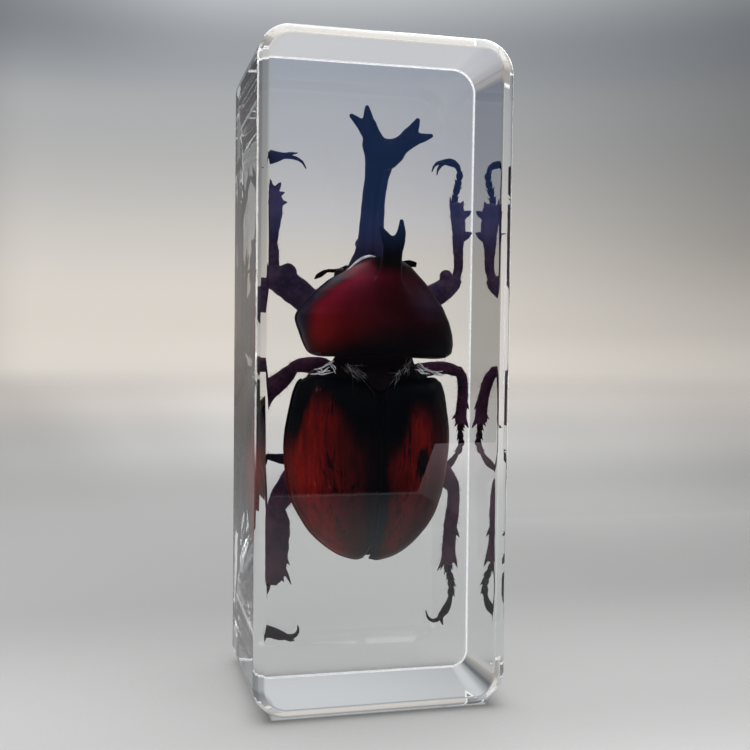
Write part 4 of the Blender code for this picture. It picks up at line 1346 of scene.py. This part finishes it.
def card(name, corners, colour, strength, soft=None):
    """A panel out of the picture that only shows as a reflection in the block's polished faces."""
    m = bpy.data.materials.new(name)
    m.use_nodes = True
    nt = m.node_tree
    nt.nodes.clear()
    out = nt.nodes.new("ShaderNodeOutputMaterial")
    em = nt.nodes.new("ShaderNodeEmission")
    em.inputs["Color"].default_value = (*colour, 1)
    em.inputs["Strength"].default_value = strength
    if soft:
        x, y, z = split_xyz(nt)
        clear = nt.nodes.new("ShaderNodeBsdfTransparent")
        ms = nt.nodes.new("ShaderNodeMixShader")
        k = None
        for axis, a, b in soft:
            q = smooth_step(nt, (x, y, z)[axis], a, b)
            k = q if k is None else math_node(nt, "MULTIPLY", k, q)
        nt.links.new(k, ms.inputs[0])
        nt.links.new(clear.outputs[0], ms.inputs[1])
        nt.links.new(em.outputs[0], ms.inputs[2])
        nt.links.new(ms.outputs[0], out.inputs["Surface"])
    else:
        nt.links.new(em.outputs[0], out.inputs["Surface"])
    ob = mesh_object(name, corners, [(0, 1, 2, 3)], m, smooth=False)
    ob.visible_camera = ob.visible_diffuse = ob.visible_transmission = ob.visible_shadow = ob.visible_volume_scatter = False
    return ob


# the dark studio floor further out in front, seen only in the front face's reflection
card("dark_floor_left", [(-900, -1500, 0.3), (70, -1500, 0.3), (70, -237, 0.3), (-900, -237, 0.3)], (0.025, 0.03, 0.045), 1.0, soft=[(1, -0.237, -0.245)])
card("dark_floor_middle", [(70, -1500, 0.3), (130, -1500, 0.3), (130, -413, 0.3), (70, -241, 0.3)], (0.025, 0.03, 0.045), 1.0)
card("dark_floor_right", [(130, -1500, 0.3), (1200, -1500, 0.3), (1200, -413, 0.3), (130, -413, 0.3)], (0.025, 0.03, 0.045), 1.0)
card("dim_floor", [(-900, -237, 0.3), (70, -237, 0.3), (70, -90, 0.3), (-900, -90, 0.3)], (0.14, 0.14, 0.20), 1.0, soft=[(1, -0.10, -0.29)])
card("lit_floor", [(70, -241, 0.4), (130, -413, 0.4), (420, -413, 0.4), (420, -241, 0.4)], (1.75, 1.30, 1.55), 1.0, soft=[(1, -0.23, -0.40)])
card("dark_wall", [(-3000, -1500, -20), (3000, -1500, -20), (3000, -1500, 700), (-3000, -1500, 700)], (0.03, 0.03, 0.04), 1.0, soft=[(2, 0.69, 0.30)])
card("blue_panel", [(20, -420, 90), (215, -420, 90), (215, -420, 345), (20, -420, 345)], (0.17, 0.40, 1.2), 1.0,
     soft=[(2, 0.104, 0.130), (2, 0.34, 0.30), (0, 0.022, 0.045), (0, 0.212, 0.19)])
card("bright_left", [(-1000, 70, 0), (-1000, 1000, 0), (-1000, 1000, 1000), (-1000, 70, 1000)], (1.0, 1.0, 0.98), 7.0, soft=[(1, 0.07, 0.15), (1, 1.0, 0.8), (2, 1.0, 0.7)])
card("bright_floor_left", [(-1000, 60, 0.3), (-250, 60, 0.3), (-250, 750, 0.3), (-1000, 750, 0.3)], (1.0, 1.0, 0.98), 6.0, soft=[(0, -0.25, -0.40), (0, -1.0, -0.85), (1, 0.06, 0.14), (1, 0.75, 0.6)])
card("bright_right", [(50, 150, 0), (190, 150, 0), (190, 150, 260), (50, 150, 260)], (1.0, 1.0, 0.97), 4.0)
card("bright_above", [(-500, -250, 760), (500, -250, 760), (500, 700, 760), (-500, 700, 760)], (1.0, 1.0, 0.98), 4.0)


def make_world():
    w = bpy.data.worlds.new("studio")
    bpy.context.scene.world = w
    w.use_nodes = True
    nt = w.node_tree
    bg = next(n for n in nt.nodes if n.type == "BACKGROUND")
    tc = nt.nodes.new("ShaderNodeTexCoord")
    s = nt.nodes.new("ShaderNodeSeparateXYZ")
    nt.links.new(tc.outputs["Generated"], s.inputs[0])
    x, y, z = s.outputs
    az = math_node(nt, "ARCTAN2", x, y)
    back = mix(nt, smooth_step(nt, z, 0.0, -0.07), (0.70, 0.655, 0.60), (0.63, 0.595, 0.55))
    back = mix(nt, smooth_step(nt, z, 0.02, 0.21), back, (0.42, 0.425, 0.43))
    back = mix(nt, smooth_step(nt, z, 0.20, 0.26), back, (0.34, 0.36, 0.385))
    back = mix(nt, smooth_step(nt, z, 0.265, 0.34), back, (0.60, 0.62, 0.63))
    back = mix(nt, smooth_step(nt, z, 0.40, 0.95), back, (1.3, 1.35, 1.4))
    right = math_node(nt, "MULTIPLY_ADD", math_node(nt, "MULTIPLY", smooth_step(nt, az, 0.16, 0.80), math_node(nt, "MULTIPLY_ADD", smooth_step(nt, z, -0.02, 0.10), 0.28, 0.40)), -1.0, 1.0)
    left = math_node(nt, "MULTIPLY_ADD", smooth_step(nt, az, -0.08, -0.20), -0.46, 1.0)
    high = math_node(nt, "MULTIPLY", smooth_step(nt, z, 0.2, 0.3), smooth_step(nt, az, 0.10, -0.12))
    high = math_node(nt, "MULTIPLY_ADD", high, -0.42, 1.0)
    fall = math_node(nt, "MULTIPLY", math_node(nt, "MULTIPLY", right, left), high)
    # the wall is as bright as the floor where they meet
    meet = math_node(nt, "MULTIPLY", smooth_step(nt, z, 0.012, -0.034), smooth_step(nt, z, -0.10, -0.06))
    meet = math_node(nt, "MULTIPLY", meet, math_node(nt, "MULTIPLY_ADD", smooth_step(nt, az, 0.0, 0.42), 0.09, 0.06))
    fall = math_node(nt, "MULTIPLY", fall, math_node(nt, "ADD", meet, 1.0))
    # the falling off to the sides is lost again high above
    fall = math_node(nt, "MAXIMUM", fall, smooth_step(nt, z, 0.5, 0.95))
    dark = nt.nodes.new("ShaderNodeVectorMath")
    dark.operation = "SCALE"
    nt.links.new(back, dark.inputs[0])
    nt.links.new(fall, dark.inputs["Scale"])
    room = mix(nt, smooth_step(nt, z, -0.05, 0.35), (0.15, 0.15, 0.165), (0.20, 0.20, 0.22))
    room = mix(nt, smooth_step(nt, z, 0.35, 0.95), room, (1.2, 1.22, 1.26))
    col = mix(nt, smooth_step(nt, y, 0.15, -0.35), dark.outputs[0], room)
    nt.links.new(col, bg.inputs["Color"])
    bg.inputs["Strength"].default_value = 1.0


make_world()


def area(name, loc, target, size, power, color=(1, 1, 1), spread=180):
    d = bpy.data.lights.new(name, "AREA")
    d.shape = "RECTANGLE"
    d.size, d.size_y = size
    d.energy = power
    d.color = color
    d.spread = math.radians(spread)
    o = bpy.data.objects.new(name, d)
    o.location = loc
    o.rotation_mode = "QUATERNION"
    o.rotation_quaternion = (Vector(target) - Vector(loc)).to_track_quat("-Z", "Y")
    bpy.context.scene.collection.objects.link(o)
    return o


area("overhead_soft", (0.05, 0.12, 1.0), (0, 0, 0.05), (1.5, 1.2), 8.5)

cam_data = bpy.data.cameras.new("camera")
cam_data.sensor_width = 36.0
cam_data.lens = 49.07
cam_data.clip_start, cam_data.clip_end = 0.005, 50.0
cam = bpy.data.objects.new("camera", cam_data)
bpy.context.scene.collection.objects.link(cam)
yaw, pitch, roll = 0.23875, -0.03903, 0.01151
fwd = Vector((math.sin(yaw) * math.cos(pitch), math.cos(yaw) * math.cos(pitch), math.sin(pitch)))
right = Vector((math.cos(yaw), -math.sin(yaw), 0.0))
up = right.cross(fwd)
r2 = right * math.cos(roll) + up * math.sin(roll)
u2 = -right * math.sin(roll) + up * math.cos(roll)
M3 = Matrix((r2, u2, -fwd)).transposed()
cam.matrix_world = Matrix.Translation((-0.04070916, -0.17507537, 0.06153295)) @ M3.to_4x4()
bpy.context.scene.camera = cam

sc = bpy.context.scene
sc.view_settings.view_transform = "Standard"
sc.cycles.max_bounces = 24
sc.cycles.transmission_bounces = 20
sc.cycles.glossy_bounces = 12
sc.cycles.diffuse_bounces = 3
sc.cycles.transparent_max_bounces = 12
sc.cycles.caustics_reflective = True
sc.cycles.caustics_refractive = True
sc.cycles.blur_glossy = 0.3
sc.cycles.sample_clamp_indirect = 6.0
sc.cycles.use_denoising = True
